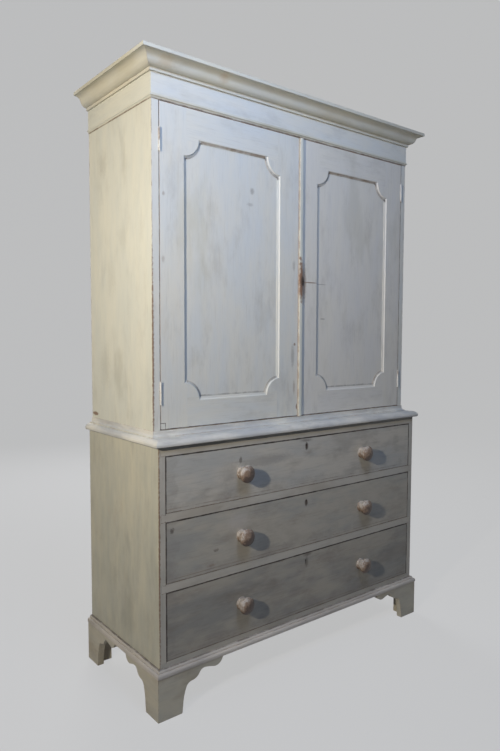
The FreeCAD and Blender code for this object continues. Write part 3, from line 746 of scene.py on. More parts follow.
@dataclass
class BoardedBack(Assembly):
    """A back of upright unpainted boards, each of its own tone, with dark joints and nail heads."""

    name: str
    nail_levels: tuple[float, ...]
    boards: int = 6
    nails_to_board: int = 2
    nail_radius: float = 0.0035
    stain_radius: float = 0.012
    joint: float = 0.0012
    pine: PineFinish = PineFinish(early=(0.43, 0.31, 0.19), late=(0.29, 0.185, 0.10))
    aged: Colour = (0.20, 0.14, 0.09)
    aged_share: float = 0.45
    dark: Colour = (0.045, 0.035, 0.03)

    def build(self) -> None:
        """Dresses the back."""
        graph = Graph(self.name)
        low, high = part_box(self.name)
        pitch = (high[0] - low[0]) / self.boards
        across = graph.math("SUBTRACT", graph.along(Axis.X), low[0])
        number = graph.math("FLOOR", graph.math("DIVIDE", across, pitch))
        board = graph.node("TexWhiteNoise", {"W": number}, noise_dimensions="1D")
        tone = graph.times(board.outputs["Value"], self.aged_share)
        colour = graph.mix(tone, self.pine.colour(graph, Grain.UPRIGHT), self.aged)
        joint = self.apart(graph, graph.total(across, pitch / 2), pitch)
        colour = graph.mix(graph.ramp(joint, self.joint / 2, self.joint, 0.95, 0.0), colour, self.dark)
        aside = self.apart(graph, across, pitch / self.nails_to_board)
        for level in self.nail_levels:
            away = graph.length(aside, graph.math("SUBTRACT", graph.along(Axis.Z), level))
            stain = graph.ramp(away, self.nail_radius, self.stain_radius, 0.4, 0.0)
            head = graph.ramp(away, 0.8 * self.nail_radius, self.nail_radius, 1.0, 0.0)
            colour = graph.mix(head, graph.mix(stain, colour, self.dark), self.dark)
        self.dress(self.pine.sawn(graph, colour, Grain.UPRIGHT), self.name)

    def apart(self, graph: Graph, value: Socket, pitch: float) -> Socket:
        """How far a value, counted from the first step's start, is from the middle of its step."""
        return graph.away(graph.math("MODULO", value, pitch), pitch / 2)


@dataclass
class Case(Assembly):
    """One stage of the press: side boards that are painted outside and bare inside, and mouldings."""

    side_paint: PaintFinish
    side_wear: list[Wear]
    front_paint: PaintFinish
    moulding: PaintFinish
    moulding_wear: list[Wear]

    def side_boards(self, stage: str) -> None:
        """Dresses both side boards: paint outside, the front's paint on the edge and bare wood inside.

        Args:
            stage: how the nodes' names begin.
        """
        for hand in Side:
            name = f"{stage}_side_{hand.name.lower()}"
            low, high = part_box(name)
            right = hand is Side.RIGHT
            inside = Coat(PINE, Axis.X, low[0] + 0.001 if right else high[0] - 0.001, not right)
            edge = Coat(self.front_paint, Axis.Y, low[1] + 0.0008, False)
            front = (low[1] - 0.01, low[1] + 0.002)
            # painted shadow: a near-black line along the board's inner front edge, in the gap beside the
            # doors and drawers
            gap = Line(Axis.X, low[0] if right else high[0], 0.0015, GAP_SHADOW, 0.9, 0.4, 30.0, Axis.Y, front)
            wear = [*self.side_wear, gap]
            self.dress(self.side_paint.material(name, Grain.UPRIGHT, [inside, edge], wear), name)


@dataclass
class Chest(Case):
    """The chest of drawers without its drawers: sides, rails, top, feet and plinth."""

    plinth_paint: PaintFinish
    foot_paint: PaintFinish
    foot_wear: list[Wear]
    rail_wear: list[Wear]
    drawer_gap: float = 0.0015
    nail_levels: tuple[float, ...] = (0.142, 0.49, 0.80)

    def build(self) -> None:
        """Dresses every node of the chest."""
        self.side_boards("chest")
        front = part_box("drawer_rails")[0][1]
        # the rails' faces inside the drawer gaps are near black: painted shade, partly grime
        coats = [Coat(GAP_GRIME_AND_SHADE, Axis.Y, front + 0.001), Coat(PINE, Axis.Y, front + 0.03)]
        wear = list(self.rail_wear)
        for drawer in ("bottom", "middle", "top"):
            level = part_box(f"{drawer}_drawer_front")[1][2] + self.drawer_gap
            # painted shadow in the gap over each drawer front
            wear.append(Line(Axis.Z, level, 0.0018, GAP_SHADOW, 0.9, 0.4))
        self.dress(self.front_paint.material("rails", Grain.ACROSS, coats, wear), "drawer_rails")
        for name, paint, end in (("chest_top", self.moulding, 0), ("plinth_moulding", self.plinth_paint, 1)):
            darkening = Line(Axis.Z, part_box(name)[end][2], 0.002, DARK, 0.7, 0.5)
            self.dress(paint.material(name, Grain.AROUND, wear=[*self.moulding_wear, darkening]), name)
        feet = [f"{end}_foot_{side}" for end in ("front", "rear") for side in ("left", "right")]
        self.dress(self.foot_paint.material("feet", Grain.AROUND, wear=self.foot_wear), *feet)
        self.dress(PINE.material("chest_inside", Grain.ACROSS), "chest_bottom")
        self.dress(PINE.material("guides", Grain.THROUGH), "drawer_guides")
        BoardedBack(self.nodes, "chest_back_boards", self.nail_levels).build()


@dataclass
class Cupboard(Case):
    """The upper case with its shelves, and the bead, frieze and cornice over it."""

    cornice: PaintFinish
    cornice_wear: list[Wear]
    bead_wear: list[Wear]
    frieze_wear: list[Wear]
    nail_levels: tuple[float, ...] = (0.862, 1.12, 1.37, 1.61, 1.853)

    def build(self) -> None:
        """Dresses every node of the upper case."""
        self.side_boards("cupboard")
        for name, paint, wear, end in (
            ("waist_cove", self.moulding, self.moulding_wear, 0.003),
            ("frieze_bead", self.cornice, self.bead_wear, 0.003),
            ("frieze", self.front_paint, self.frieze_wear, 0.0012),
            ("cornice_moulding", self.cornice, self.cornice_wear, 0.003),
        ):
            low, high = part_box(name)
            left = Coat(self.side_paint, Axis.X, low[0] + end, False)
            right = Coat(self.side_paint, Axis.X, high[0] - end)
            self.dress(paint.material(name, Grain.AROUND, [left, right], wear), name)
        boards = ("cupboard_bottom", "cupboard_top", "shelves", "door_stops", "cornice_top")
        self.dress(PINE.material("cupboard_boards", Grain.ACROSS), *boards)
        self.dress(PINE.material("bearers", Grain.THROUGH), "shelf_bearers")
        BoardedBack(self.nodes, "cupboard_back_boards", self.nail_levels).build()


@dataclass
class Door(Assembly):
    """One framed and panelled door with its ironwork."""

    hand: Side
    paint: PaintFinish
    wear: list[Wear]
    strip_paint: PaintFinish | None = None
    strip_wear: list[Wear] = field(default_factory=list)
    edge_colour: Colour = (0.62, 0.52, 0.47)
    shadow_colour: Colour = (0.20, 0.145, 0.09)
    edge_reach: float = 0.0022
    stile_width: float = 0.0955
    top_rail_width: float = 0.0975
    bottom_rail_width: float = 0.0935
    corner_radius: float = 0.055
    bolt_plate_thickness: float = 0.0015

    def recess_darkening(self, low: Vector, high: Vector) -> dict[str, list[Wear]]:
        """Painted shade round the sunk panel, with a darker line along the panel's lowest edge.

        Args:
            low: the near, lower left corner of the door's frame.
            high: its far, upper right corner.

        Returns:
            The marks by the door's part.
        """
        top, bottom = high[2] - self.top_rail_width, low[2] + self.bottom_rail_width
        tips: list[Wear] = []
        for side, inward in (
            (low[0] + self.stile_width, self.corner_radius),
            (high[0] - self.stile_width, -self.corner_radius),
        ):
            for place in ((side + inward, low[1], top), (side, low[1], top - self.corner_radius)):
                # painted shade: dark spots at both ends of each top corner's arc
                tips.append(Spot(place, (0.006, 0.02, 0.005), DARK, 0.75, 0.6))
        ends = self.stile_width + self.corner_radius
        straight = (low[0] + ends, high[0] - ends)
        # painted shadow under the top rail, and painted shade deep in the corner blocks' hollows
        under = Line(Axis.Z, top + 0.0045, 0.0044, self.shadow_colour, 0.85, 0.3, 30.0, Axis.X, straight)
        deep = Line(Axis.Y, low[1] + 0.0045, 0.0016, DARK, 0.5, 0.6)
        return {
            "stiles": tips,
            "corner_blocks": [deep, *tips],
            "rails": [under, *tips],
            "panel": [Line(Axis.Z, bottom + 0.001, 0.005, SMOKE, 0.6, 0.6)],
        }

    def edges(self, low: Vector, high: Vector) -> list[Wear]:
        """Thin lines of wear along the door's own outline, and a painted shadow line along its lowest edge.

        Args:
            low: the near, lower left corner of the door's frame.
            high: its far, upper right corner.

        Returns:
            A line for each of its four edges, and a painted shadow line along the lowest one.
        """
        levels = [(axis, end[axis.value]) for axis in (Axis.X, Axis.Z) for end in (low, high)]
        lines = [Line(axis, level, self.edge_reach, self.edge_colour, 0.6, 0.6) for axis, level in levels]
        return [*lines, Line(Axis.Z, low[2], 0.003, GAP_SHADOW, 0.9, 0.35)]

    def build(self) -> None:
        """Dresses every node of the door and adds its screws."""
        door = f"{self.hand.name.lower()}_door"
        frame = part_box(f"{door}_stiles")
        wear = self.edges(*frame) + self.wear
        for part, darkening in self.recess_darkening(*frame).items():
            name = f"{door}_{part}"
            grain = Grain.ACROSS if part == "rails" else Grain.UPRIGHT
            inner = Coat(PINE, Axis.Y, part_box(name)[1][1] - 0.001)
            self.dress(self.paint.material(name, grain, [inner], wear + darkening), name)
        iron = IRON.material(f"{door}_iron")
        if self.hand is Side.RIGHT:
            name = "right_door_cover_strip"
            gap = Line(Axis.X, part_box(name)[0][0], 0.0016, BROWN, 0.6, 0.5)
            strip = self.strip_paint.material(name, Grain.UPRIGHT, wear=[gap, *self.strip_wear])
            self.dress(strip, name)
            self.dress(iron, "right_door_lock", "right_door_lock_bolt")
        else:
            self.dress(iron, "left_door_bolt_housings", "left_door_upper_bolt", "left_door_lower_bolt")
        Fasteners(f"{door}_iron_screws", door, self.iron_seats(), 0.0024, 0.0005).build(iron)

    def iron_seats(self) -> list[Seat]:
        """Where the screws of the right door's lock or of the left door's two bolts sit.

        Returns:
            The seats.
        """
        if self.hand is Side.RIGHT:
            low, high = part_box("right_door_lock")
            middle, rise = (low[2] + high[2]) / 2, 0.33 * (high[2] - low[2])
            places = [(x, middle + way * rise) for x in (low[0] + 0.01, high[0] - 0.006) for way in (-1, 1)]
            return [Seat((x, high[1], z), BACKWARDS, 9000.0 * z) for x, z in places]
        low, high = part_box("left_door_bolt_housings")
        middle, face = (low[0] + high[0]) / 2, low[1] + self.bolt_plate_thickness
        levels = [low[2] + 0.01, low[2] + 0.06, high[2] - 0.06, high[2] - 0.01]
        places = [(middle + side * 0.0091, z) for z in levels for side in (-1, 1)]
        return [Seat((x, face, z), BACKWARDS, 7000.0 * (x + z)) for x, z in places]


@dataclass
class Hinges(Assembly):
    """The four butt hinges, whose knuckles are painted over with the case."""

    paint: PaintFinish
    length: float = 0.070
    pin_from_door: float = 0.00075
    half_play: float = 0.00015
    screw_levels: tuple[float, float, float] = (0.17, 0.5, 0.83)
    rust: Clouds = Clouds((0.17, 0.11, 0.08), 70.0, Grain.UPRIGHT, 0.75, 0.6)

    def build(self) -> None:
        """Dresses the hinges and adds their screws."""
        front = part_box("left_door_stiles")[0][1]
        coats = [Coat(IRON, Axis.Y, front + 0.0005)]
        leaves = [f"{body}_hinge_leaves" for body in ("case", "left_door", "right_door")]
        self.dress(self.paint.material("hinges", Grain.UPRIGHT, coats, [self.rust]), *leaves)
        iron = IRON.material("hinge_screws")
        for hand in Side:
            door = f"{hand.name.lower()}_door"
            on_door, on_case = self.seats(door, hand)
            for name, body, seats in ((door, door, on_door), (f"{door}_case", "case", on_case)):
                Fasteners(f"{name}_hinge_screws", body, seats, slot="hinge_iron").build(iron)

    def seats(self, door: str, hand: Side) -> tuple[list[Seat], list[Seat]]:
        """Where the screws of one door's hinges sit.

        Args:
            door: the door's name.
            hand: its hand.

        Returns:
            The seats on the door's leaves and those on the case's leaves.
        """
        low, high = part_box(f"{door}_hinge_leaves")
        stile_low, stile_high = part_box(f"{door}_stiles")
        outer = stile_high[0] if hand is Side.RIGHT else stile_low[0]
        pin = outer + hand.value * self.pin_from_door
        middle = (stile_low[1] + high[1]) / 2
        on_door, on_case = [], []
        for start in (low[2], high[2] - self.length):
            for number, level in enumerate(self.screw_levels):
                height = start + level * self.length
                turn = 37.0 * number + 20.0
                for seats, way in ((on_door, hand.value), (on_case, -hand.value)):
                    face = pin - way * self.half_play
                    seats.append(Seat((face, middle, height), (float(way), 0.0, 0.0), turn))
        return on_door, on_case


@dataclass
class Knobs:
    """The pair of turned knobs on one drawer."""

    drawer: str
    finish: KnobFinish = KnobFinish()
    segments: int = 64
    rim_from_axis: float = 0.88
    rim_level: float = 0.71
    rim_radius: float = 0.12

    def profile(self, projection: float, radius: float) -> list[tuple[float, float]]:
        """The turned outline from the drawer's face to the middle of the knob's face.

        Args:
            projection: how far the knob stands out.
            radius: its largest radius.

        Returns:
            Points out from the axis and along it.
        """
        underside = [(0.0, 0.0), (0.73, 0.0), (0.75, 0.03), (0.745, 0.08), (0.72, 0.12), (0.715, 0.17)]
        underside += [(0.74, 0.23), (0.79, 0.31), (0.85, 0.40), (0.91, 0.49), (0.96, 0.58)]
        dome = [(0.84, 0.84), (0.70, 0.905), (0.52, 0.95), (0.33, 0.98), (0.15, 0.996), (0.0, 1.0)]
        centre = (self.rim_from_axis * radius, self.rim_level * projection)
        rim = arc(centre, self.rim_radius * radius, -55.0, 62.0, 8)
        scale = Vector((radius, projection))
        return [tuple(scale * Vector(p)) for p in underside] + rim + [tuple(scale * Vector(p)) for p in dome]

    def build(self) -> Piece:
        """Makes both knobs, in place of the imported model's plainer ones.

        Returns:
            The piece.
        """
        node = f"{self.drawer}_drawer_knobs"
        low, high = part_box(node)
        radius, projection = (high[2] - low[2]) / 2, high[1] - low[1]
        offset, height = high[0] - radius, (low[2] + high[2]) / 2
        mesh = bmesh.new()
        for place in (-offset, offset):
            axis = Vector((place, high[1], height))
            points = [axis + Vector((out, -along, 0.0)) for out, along in self.profile(projection, radius)]
            verts = [mesh.verts.new(point) for point in points]
            edges = [mesh.edges.new(pair) for pair in zip(verts, verts[1:])]
            bmesh.ops.spin(
                mesh,
                geom=verts + edges,
                cent=axis,
                axis=(0.0, 1.0, 0.0),
                angle=2 * math.pi,
                steps=self.segments,
                use_merge=True,
                use_duplicate=False,
            )
        name = f"{self.drawer}_turned_knobs"
        piece = new_piece(name, mesh, self.finish.material(name, offset, height))
        smooth(piece)
        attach(piece, f"{self.drawer}_drawer")
        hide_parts(node)
        log.info("made %s", piece.name)
        return piece


@dataclass
class Drawer(Assembly):
    """One drawer: painted front, pine box, iron lock, two knobs and the fasteners inside."""

    name: str
    paint: PaintFinish
    wear: list[Wear]
    wear_and_shade: Colour = (0.15, 0.10, 0.07)
    painted_edge: float = 0.0012
    clean_wood_from_back: float = 0.004
    lock_screw_aside: float = 0.0238
    lock_screw_rise: tuple[float, float] = (-0.038, -0.009)
    bottom_nails: int = 7

    def build(self) -> None:
        """Dresses the drawer's nodes and makes its knobs and fasteners."""
        drawer = f"{self.name}_drawer"
        low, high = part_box(f"{drawer}_front")
        clean = Coat(PINE, Axis.Y, high[1] - self.clean_wood_from_back)
        # the front's edges past the paint are near black: painted shade in the gaps, partly grime
        coats = [Coat(GAP_GRIME_AND_SHADE, Axis.Y, low[1] + self.painted_edge), clean]
        wear = self.edges(low, high) + self.wear
        self.dress(self.paint.material(f"{drawer}_front", Grain.ACROSS, coats, wear), f"{drawer}_front")
        for part, grain in (("box", Grain.THROUGH), ("bottom", Grain.ACROSS)):
            self.dress(PINE.material(f"{drawer}_{part}", grain), f"{drawer}_{part}")
        iron = IRON.material(f"{drawer}_iron")
        self.dress(iron, f"{drawer}_lock", f"{drawer}_lock_bolt")
        Knobs(self.name).build()
        for fasteners in self.fasteners(drawer, high[1]):
            fasteners.build(iron)

    def edges(self, low: Vector, high: Vector) -> list[Wear]:
        """Painted shadow in the gaps round the drawer front, and wear and broad grime on it.

        Args:
            low: the near, lower left corner of the front.
            high: its far, upper right corner.

        Returns:
            The marks.
        """
        return [
            # brown lines at and just above the lower edge: wear, and at the edge also the painted shade of
            # the gap below
            Line(Axis.Z, low[2], 0.0032, self.wear_and_shade, 0.8, 0.5),
            Line(Axis.Z, low[2] + 0.011, 0.0016, self.wear_and_shade, 0.4, 0.9, 18.0),
            # painted shadow in the gaps over and beside the drawer front
            Line(Axis.Z, high[2], 0.0026, GAP_SHADOW, 0.95, 0.25),
            Line(Axis.X, low[0], 0.0027, GAP_SHADOW, 0.95, 0.35),
            Line(Axis.X, high[0], 0.0026, GAP_SHADOW, 0.8, 0.4),
            Line(Axis.X, low[0], 0.045, SMOKE, 0.3, 0.9, 13.0),
            Line(Axis.Z, low[2], 0.036, SMOKE, 0.3, 0.9, 13.0),
        ]

    def fasteners(self, drawer: str, inner: float) -> list[Fasteners]:
        """A screw into each knob, four round the lock, and nails that hold the bottom to the back.

        Args:
            drawer: the drawer's name.
            inner: the depth of the front's inner face.

        Returns:
            The screws and nails, not yet built.
        """
        low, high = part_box(f"{drawer}_knobs")
        offset, height = high[0] - (high[2] - low[2]) / 2, (low[2] + high[2]) / 2
        knobs = [Seat((x, inner, height), BACKWARDS, turn) for x, turn in ((-offset, 25.0), (offset, 70.0))]
        _, face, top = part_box(f"{drawer}_lock")[1]
        places = [(side, rise) for rise in self.lock_screw_rise for side in (-1, 1)]
        lock = [
            Seat((side * self.lock_screw_aside, face, top + rise), BACKWARDS, 40.0 * side + 600.0 * rise)
            for side, rise in places
        ]
        low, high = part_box(f"{drawer}_bottom")
        pitch = (high[0] - low[0]) / self.bottom_nails
        middles = [low[0] + pitch * (n + 0.5) for n in range(self.bottom_nails)]
        bottom = [Seat((x, high[1] - 0.006, low[2]), DOWNWARDS) for x in middles]
        return [
            Fasteners(f"{drawer}_knob_screws", drawer, knobs, 0.0055, 0.0012, 0.0013),
            Fasteners(f"{drawer}_lock_screws", drawer, lock, 0.003, 0.0005),
            Fasteners(f"{drawer}_bottom_nails", drawer, bottom, 0.0028, 0.0008, head=Head.NAIL),
        ]


# ---- studio ----
@dataclass(frozen=True)
class Lamp:
    """A round soft lamp."""

    name: str
    place: Triple
    aim: Triple
    size: float
    power: float
    colour: Colour
    spread: float = 180.0

    def build(self) -> None:
        """Hangs the lamp."""
        data = bpy.data.lights.new(self.name, "AREA")
        data.shape = "DISK"
        data.size = self.size
        data.energy = self.power
        data.color = self.colour
        data.spread = math.radians(self.spread)
        lamp = bpy.data.objects.new(self.name, data)
        lamp.location = self.place
        lamp.rotation_euler = (Vector(self.aim) - Vector(self.place)).to_track_quat("-Z", "Y").to_euler()
        bpy.context.scene.collection.objects.link(lamp)


@dataclass
class Studio:
    """A pale floor and backdrop, three soft lamps, an even fill and the camera."""

    lamps: tuple[Lamp, ...] = (
        Lamp("side_lamp", (-2.61, -1.17, 1.64), (-0.42, -0.1, 1.47), 0.11, 17.5, (1.0, 0.90, 0.745), 96.0),
        Lamp("top_lamp", (-0.556, -1.244, 2.42), (0.0, 0.0, 1.1), 0.8, 15.4, (0.54, 0.69, 1.0)),
        Lamp("back_lamp", (1.0, 3.4, 2.6), (0.0, 0.26, 1.0), 2.0, 70.0, (1.0, 1.0, 1.0)),
    )
    fill: float = 0.065
    fill_colour: Colour = (0.74, 0.85, 1.0)
    floor_colour: Colour = (0.36, 0.36, 0.37)
    pale: Colour = (0.80, 0.805, 0.81)
    pale_share: float = 0.62
    pale_strength: float = 0.7
    camera_place: Triple = (-1.52166, -1.80852, 1.15791)
    camera_yaw: float = 38.4788
    camera_pitch: float = 3.636
    camera_roll: float = 0.156
    focal_pixels: float = 624.925
    image_height: int = 751
    sensor: float = 36.0
    backdrop_y: float = 6.5
    backdrop_bend: float = 0.9
    floor_reach: float = 26.0
    backdrop_height: float = 12.0

    def build(self) -> None:
        """Makes the whole studio."""
        self.floor()
        for lamp in self.lamps:
            lamp.build()
        self.world()
        self.camera()

    def floor_material(self) -> Material:
        """A plain colour that takes shadows and is lifted where the camera sees it.

        Returns:
            The material.
        """
        graph = Graph("backdrop")
        plain = {"Specular IOR Level": 0.1, "Base Color": self.floor_colour, "Roughness": 0.9}
        for name, value in plain.items():
            graph.feed(graph.shader.inputs[name], value)
        glow = graph.node("Emission", {"Color": self.pale}).outputs[0]
        share = graph.times(graph.seen(), self.pale_share)
        both = graph.node("MixShader", {0: share, 1: graph.shader.outputs["BSDF"], 2: glow})
        graph.feed(graph.output.inputs["Surface"], both.outputs[0])
        return graph.material

    def floor(self) -> None:
        """A pale floor that bends up into a backdrop."""
        mesh = bmesh.new()
        bend, reach = self.backdrop_bend, self.floor_reach
        turn = [(self.backdrop_y - bend + y, bend + z) for y, z in arc((0.0, 0.0), bend, -90.0, 0.0, 24)]
        outline = [(-reach, 0.0), *turn, (self.backdrop_y, self.backdrop_height)]
        verts = [mesh.verts.new((-reach, y, z)) for y, z in outline]
        edges = [mesh.edges.new(pair) for pair in zip(verts, verts[1:])]
        grown = bmesh.ops.extrude_edge_only(mesh, edges=edges)["geom"]
        moved = [item for item in grown if isinstance(item, bmesh.types.BMVert)]
        bmesh.ops.translate(mesh, verts=moved, vec=(2 * reach, 0.0, 0.0))
        piece = new_piece("floor", mesh, self.floor_material())
        smooth(piece)

    def world(self) -> None:
        """An even light from all round, behind which the camera sees the backdrop's pale colour."""
        world = bpy.data.worlds.new("studio")
        tree = Tree(world)
        fill = tree.node("Background", {"Color": self.fill_colour, "Strength": self.fill}).outputs[0]
        pale = tree.node("Background", {"Color": self.pale, "Strength": self.pale_strength}).outputs[0]
        both = tree.node("MixShader", {0: tree.seen(), 1: fill, 2: pale})
        tree.node("OutputWorld", {"Surface": both.outputs[0]})
        bpy.context.scene.world = world

    def camera(self) -> None:
        """The camera, with its lens worked out from the focal length in pixels."""
        data = bpy.data.cameras.new("camera")
        data.sensor_width = self.sensor
        data.lens = self.focal_pixels * self.sensor / self.image_height
        camera = bpy.data.objects.new("camera", data)
        camera.matrix_world = Matrix.Translation(self.camera_place)
        turns = (-self.camera_yaw, 90.0 - self.camera_pitch, self.camera_roll)
        for angle, axis in zip(turns, "ZXZ"):
            camera.matrix_world @= Matrix.Rotation(math.radians(angle), 4, axis)
        bpy.context.scene.collection.objects.link(camera)
        bpy.context.scene.camera = camera


# ---- finishes and wear of this press ----
PINE, IRON = PineFinish(), IronFinish()
# GAP_GRIME_AND_SHADE is near-black wood for faces inside the gaps: partly grime and partly painted shade
# that darkens the gap lines.
GAP_GRIME_AND_SHADE = PineFinish(early=(0.05, 0.035, 0.028), late=(0.03, 0.02, 0.016), dust=(0.045, 0.035, 0.03))
SIDE = PaintFinish(cream=(0.68, 0.675, 0.59), wash=(0.59, 0.61, 0.565), soil_share=0.22)
# The chest's side, rails and feet are painted darker than the cupboard above them.
CHEST_SIDE = PaintFinish(cream=(0.58, 0.56, 0.455), wash=(0.46, 0.465, 0.405), streaks=0.7, soil_share=0.32)
FRONT = PaintFinish(cream=(0.67, 0.655, 0.59), wash=(0.60, 0.625, 0.625), clouds=0.8, soil_share=0.28)
RAIL = PaintFinish(cream=(0.52, 0.485, 0.42), wash=(0.45, 0.44, 0.405), soil_share=0.36)
MOULDING = PaintFinish(cream=(0.71, 0.695, 0.64), wash=(0.50, 0.515, 0.52), streaks=1.3, soil_share=0.4)
# Partly painted light: the cornice's paint is yellower than the front's, standing in for the warm side light
# alone reaching under the cornice.
CORNICE = PaintFinish(cream=(0.64, 0.61, 0.50), wash=(0.57, 0.575, 0.53), soil_share=0.22)
PLINTH = replace(MOULDING, cream=(0.66, 0.615, 0.555), wash=(0.51, 0.475, 0.44), streaks=1.0)
FOOT = PaintFinish(cream=(0.60, 0.56, 0.45), wash=(0.50, 0.485, 0.42), streaks=0.6, soil_share=0.34)
# Painted shade: the drawers' paint is darker than the doors', and darker again on the middle and bottom
# drawers, standing in for light that falls off towards the floor; their heavier soil is grime.
DRAWER = PaintFinish(
    cream=(0.515, 0.485, 0.425),
    wash=(0.415, 0.415, 0.395),
    streaks=0.7,
    clouds=1.4,
    soil=(0.18, 0.15, 0.125),
    soil_share=0.48,
)
MIDDLE_DRAWER = replace(DRAWER, cream=(0.44, 0.41, 0.35), wash=(0.325, 0.325, 0.305), soil_share=0.45)
BOTTOM_DRAWER = replace(DRAWER, cream=(0.40, 0.37, 0.315), wash=(0.275, 0.272, 0.252), soil_share=0.5)
# Painted light: the right door's paint is warmer than the left's, standing in for more of the warm side
# light reaching it.
RIGHT_DOOR = replace(FRONT, cream=(0.68, 0.655, 0.59), wash=(0.64, 0.63, 0.605))

# GAP_SHADOW is painted shadow: near-black lines in the gaps round the doors, drawers and side boards.
DARK, BROWN, GAP_SHADOW = (0.055, 0.04, 0.032), (0.20, 0.12, 0.075), (0.035, 0.026, 0.022)
SMOKE, OLIVE = (0.23, 0.215, 0.20), (0.36, 0.34, 0.27)
DOOR_Y, PANEL_Y, DRAWER_Y = -0.167, -0.161, -0.218

SIDE_WEAR: list[Wear] = [
    Clouds((0.40, 0.40, 0.34), 7.0, Grain.UPRIGHT, 0.45, 0.35),
    Spot((-0.588, 0.157, 1.725), (0.02, 0.024, 0.035), OLIVE, 0.3, 0.9, 1.8),
    Spot((-0.588, 0.156, 1.053), (0.02, 0.03, 0.06), OLIVE, 0.25, 0.9, 1.8),
    Spot((-0.588, 0.015, 1.470), (0.02, 0.02, 0.04), OLIVE, 0.2, 0.9, 1.8),
    Spot((-0.588, 0.100, 1.345), (0.02, 0.02, 0.05), OLIVE, 0.18, 0.9, 1.8),
    Arris(reach=0.0045, strength=0.95),
    Spot((-0.588, -0.167, 1.10), (0.004, 0.004, 0.26), BROWN, 0.9, 0.6, 2.2),
    Spot((-0.588, 0.235, 0.885), (0.012, 0.02, 0.006), BROWN, 0.9, 0.3),
]
CHEST_SIDE_WEAR: list[Wear] = [
    Clouds((0.30, 0.30, 0.26), 6.0, Grain.UPRIGHT, 0.5, 0.5),
    Clouds((0.45, 0.36, 0.25), 9.0, Grain.UPRIGHT, 0.35, 0.35),
    Arris(reach=0.0045, strength=0.95),
    Spot((-0.600, -0.218, 0.52), (0.0035, 0.0035, 0.33), BROWN, 0.9, 0.6, 2.2),
]
LEFT_DOOR_WEAR: list[Wear] = [
    Clouds((0.50, 0.48, 0.38), 5.5, Grain.UPRIGHT, 0.4, 0.4),
    Spot((-0.205, PANEL_Y, 1.636), (0.008, 0.02, 0.009), SMOKE, 0.55, 0.6),
    Spot((-0.213, PANEL_Y, 1.592), (0.012, 0.02, 0.005), SMOKE, 0.35, 0.6),
    Spot((-0.548, DOOR_Y, 1.581), (0.004, 0.02, 0.006), BROWN, 0.4, 0.5),
    Spot((-0.550, DOOR_Y, 1.387), (0.005, 0.02, 0.010), BROWN, 0.3, 0.6),
    Spot((-0.021, DOOR_Y, 1.405), (0.006, 0.02, 0.016), SMOKE, 0.4, 0.6),
    Spot((-0.024, DOOR_Y, 1.087), (0.007, 0.02, 0.035), SMOKE, 0.45, 0.6),
    Spot((-0.015, DOOR_Y, 1.128), (0.004, 0.02, 0.005), BROWN, 0.7, 0.4),
    Spot((-0.017, DOOR_Y, 0.976), (0.005, 0.02, 0.020), BROWN, 0.4, 0.6),
    Spot((-0.004, DOOR_Y, 0.905), (0.003, 0.02, 0.010), BROWN, 0.85, 0.4),
    Line(Axis.X, -0.5455, 0.0014, DARK, 0.75, 0.4, 60.0, Axis.Z, (0.871, 0.8915)),
    Line(Axis.Z, 0.891, 0.0014, DARK, 0.75, 0.4, 60.0, Axis.X, (-0.562, -0.545)),
]
RIGHT_DOOR_WEAR: list[Wear] = [
    Clouds((0.48, 0.46, 0.39), 5.5, Grain.UPRIGHT, 0.35, 0.45),
    Spot((0.026, DOOR_Y, 1.345), (0.011, 0.02, 0.060), (0.25, 0.17, 0.12), 0.8, 0.6),
    Spot((0.023, DOOR_Y, 1.351), (0.006, 0.02, 0.016), DARK, 0.95, 0.4),
    Spot((0.060, DOOR_Y, 1.3495), (0.034, 0.02, 0.0022), BROWN, 0.75, 0.5, 0.6),
    Spot((0.120, DOOR_Y, 1.3465), (0.026, 0.02, 0.0016), SMOKE, 0.6, 0.5, 0.6),
    Spot((0.129, DOOR_Y, 1.2205), (0.012, 0.02, 0.0022), SMOKE, 0.7, 0.5, 0.6),
]
STRIP_WEAR: list[Wear] = [
    Spot((0.010, -0.175, 1.350), (0.010, 0.02, 0.068), (0.22, 0.115, 0.065), 0.95, 0.4, 1.4),
    Spot((0.013, -0.175, 1.352), (0.006, 0.02, 0.020), DARK, 0.8, 0.5),
    Spot((0.005, -0.175, 1.432), (0.004, 0.02, 0.006), BROWN, 0.9, 0.3),
    Spot((0.005, -0.175, 1.412), (0.004, 0.02, 0.005), BROWN, 0.9, 0.3),
    Arris((0.55, 0.45, 0.36), 0.002, 0.5),
]
TOP_DRAWER_WEAR: list[Wear] = [
    Clouds((0.22, 0.195, 0.17), 11.0, Grain.ACROSS, 0.35, 0.5),
    Spot((-0.003, DRAWER_Y, 0.790), (0.024, 0.02, 0.005), DARK, 0.5, 0.6),
    Spot((0.0, DRAWER_Y, 0.769), (0.007, 0.02, 0.013), DARK, 0.85, 0.35, 0.5),
    Spot((-0.339, DRAWER_Y, 0.712), (0.030, 0.02, 0.030), SMOKE, 0.3, 0.9, 1.8),
    Spot((-0.295, DRAWER_Y, 0.755), (0.006, 0.02, 0.010), DARK, 0.6, 0.5),
    Spot((-0.185, DRAWER_Y, 0.742), (0.10, 0.02, 0.016), SMOKE, 0.45, 0.6),
]
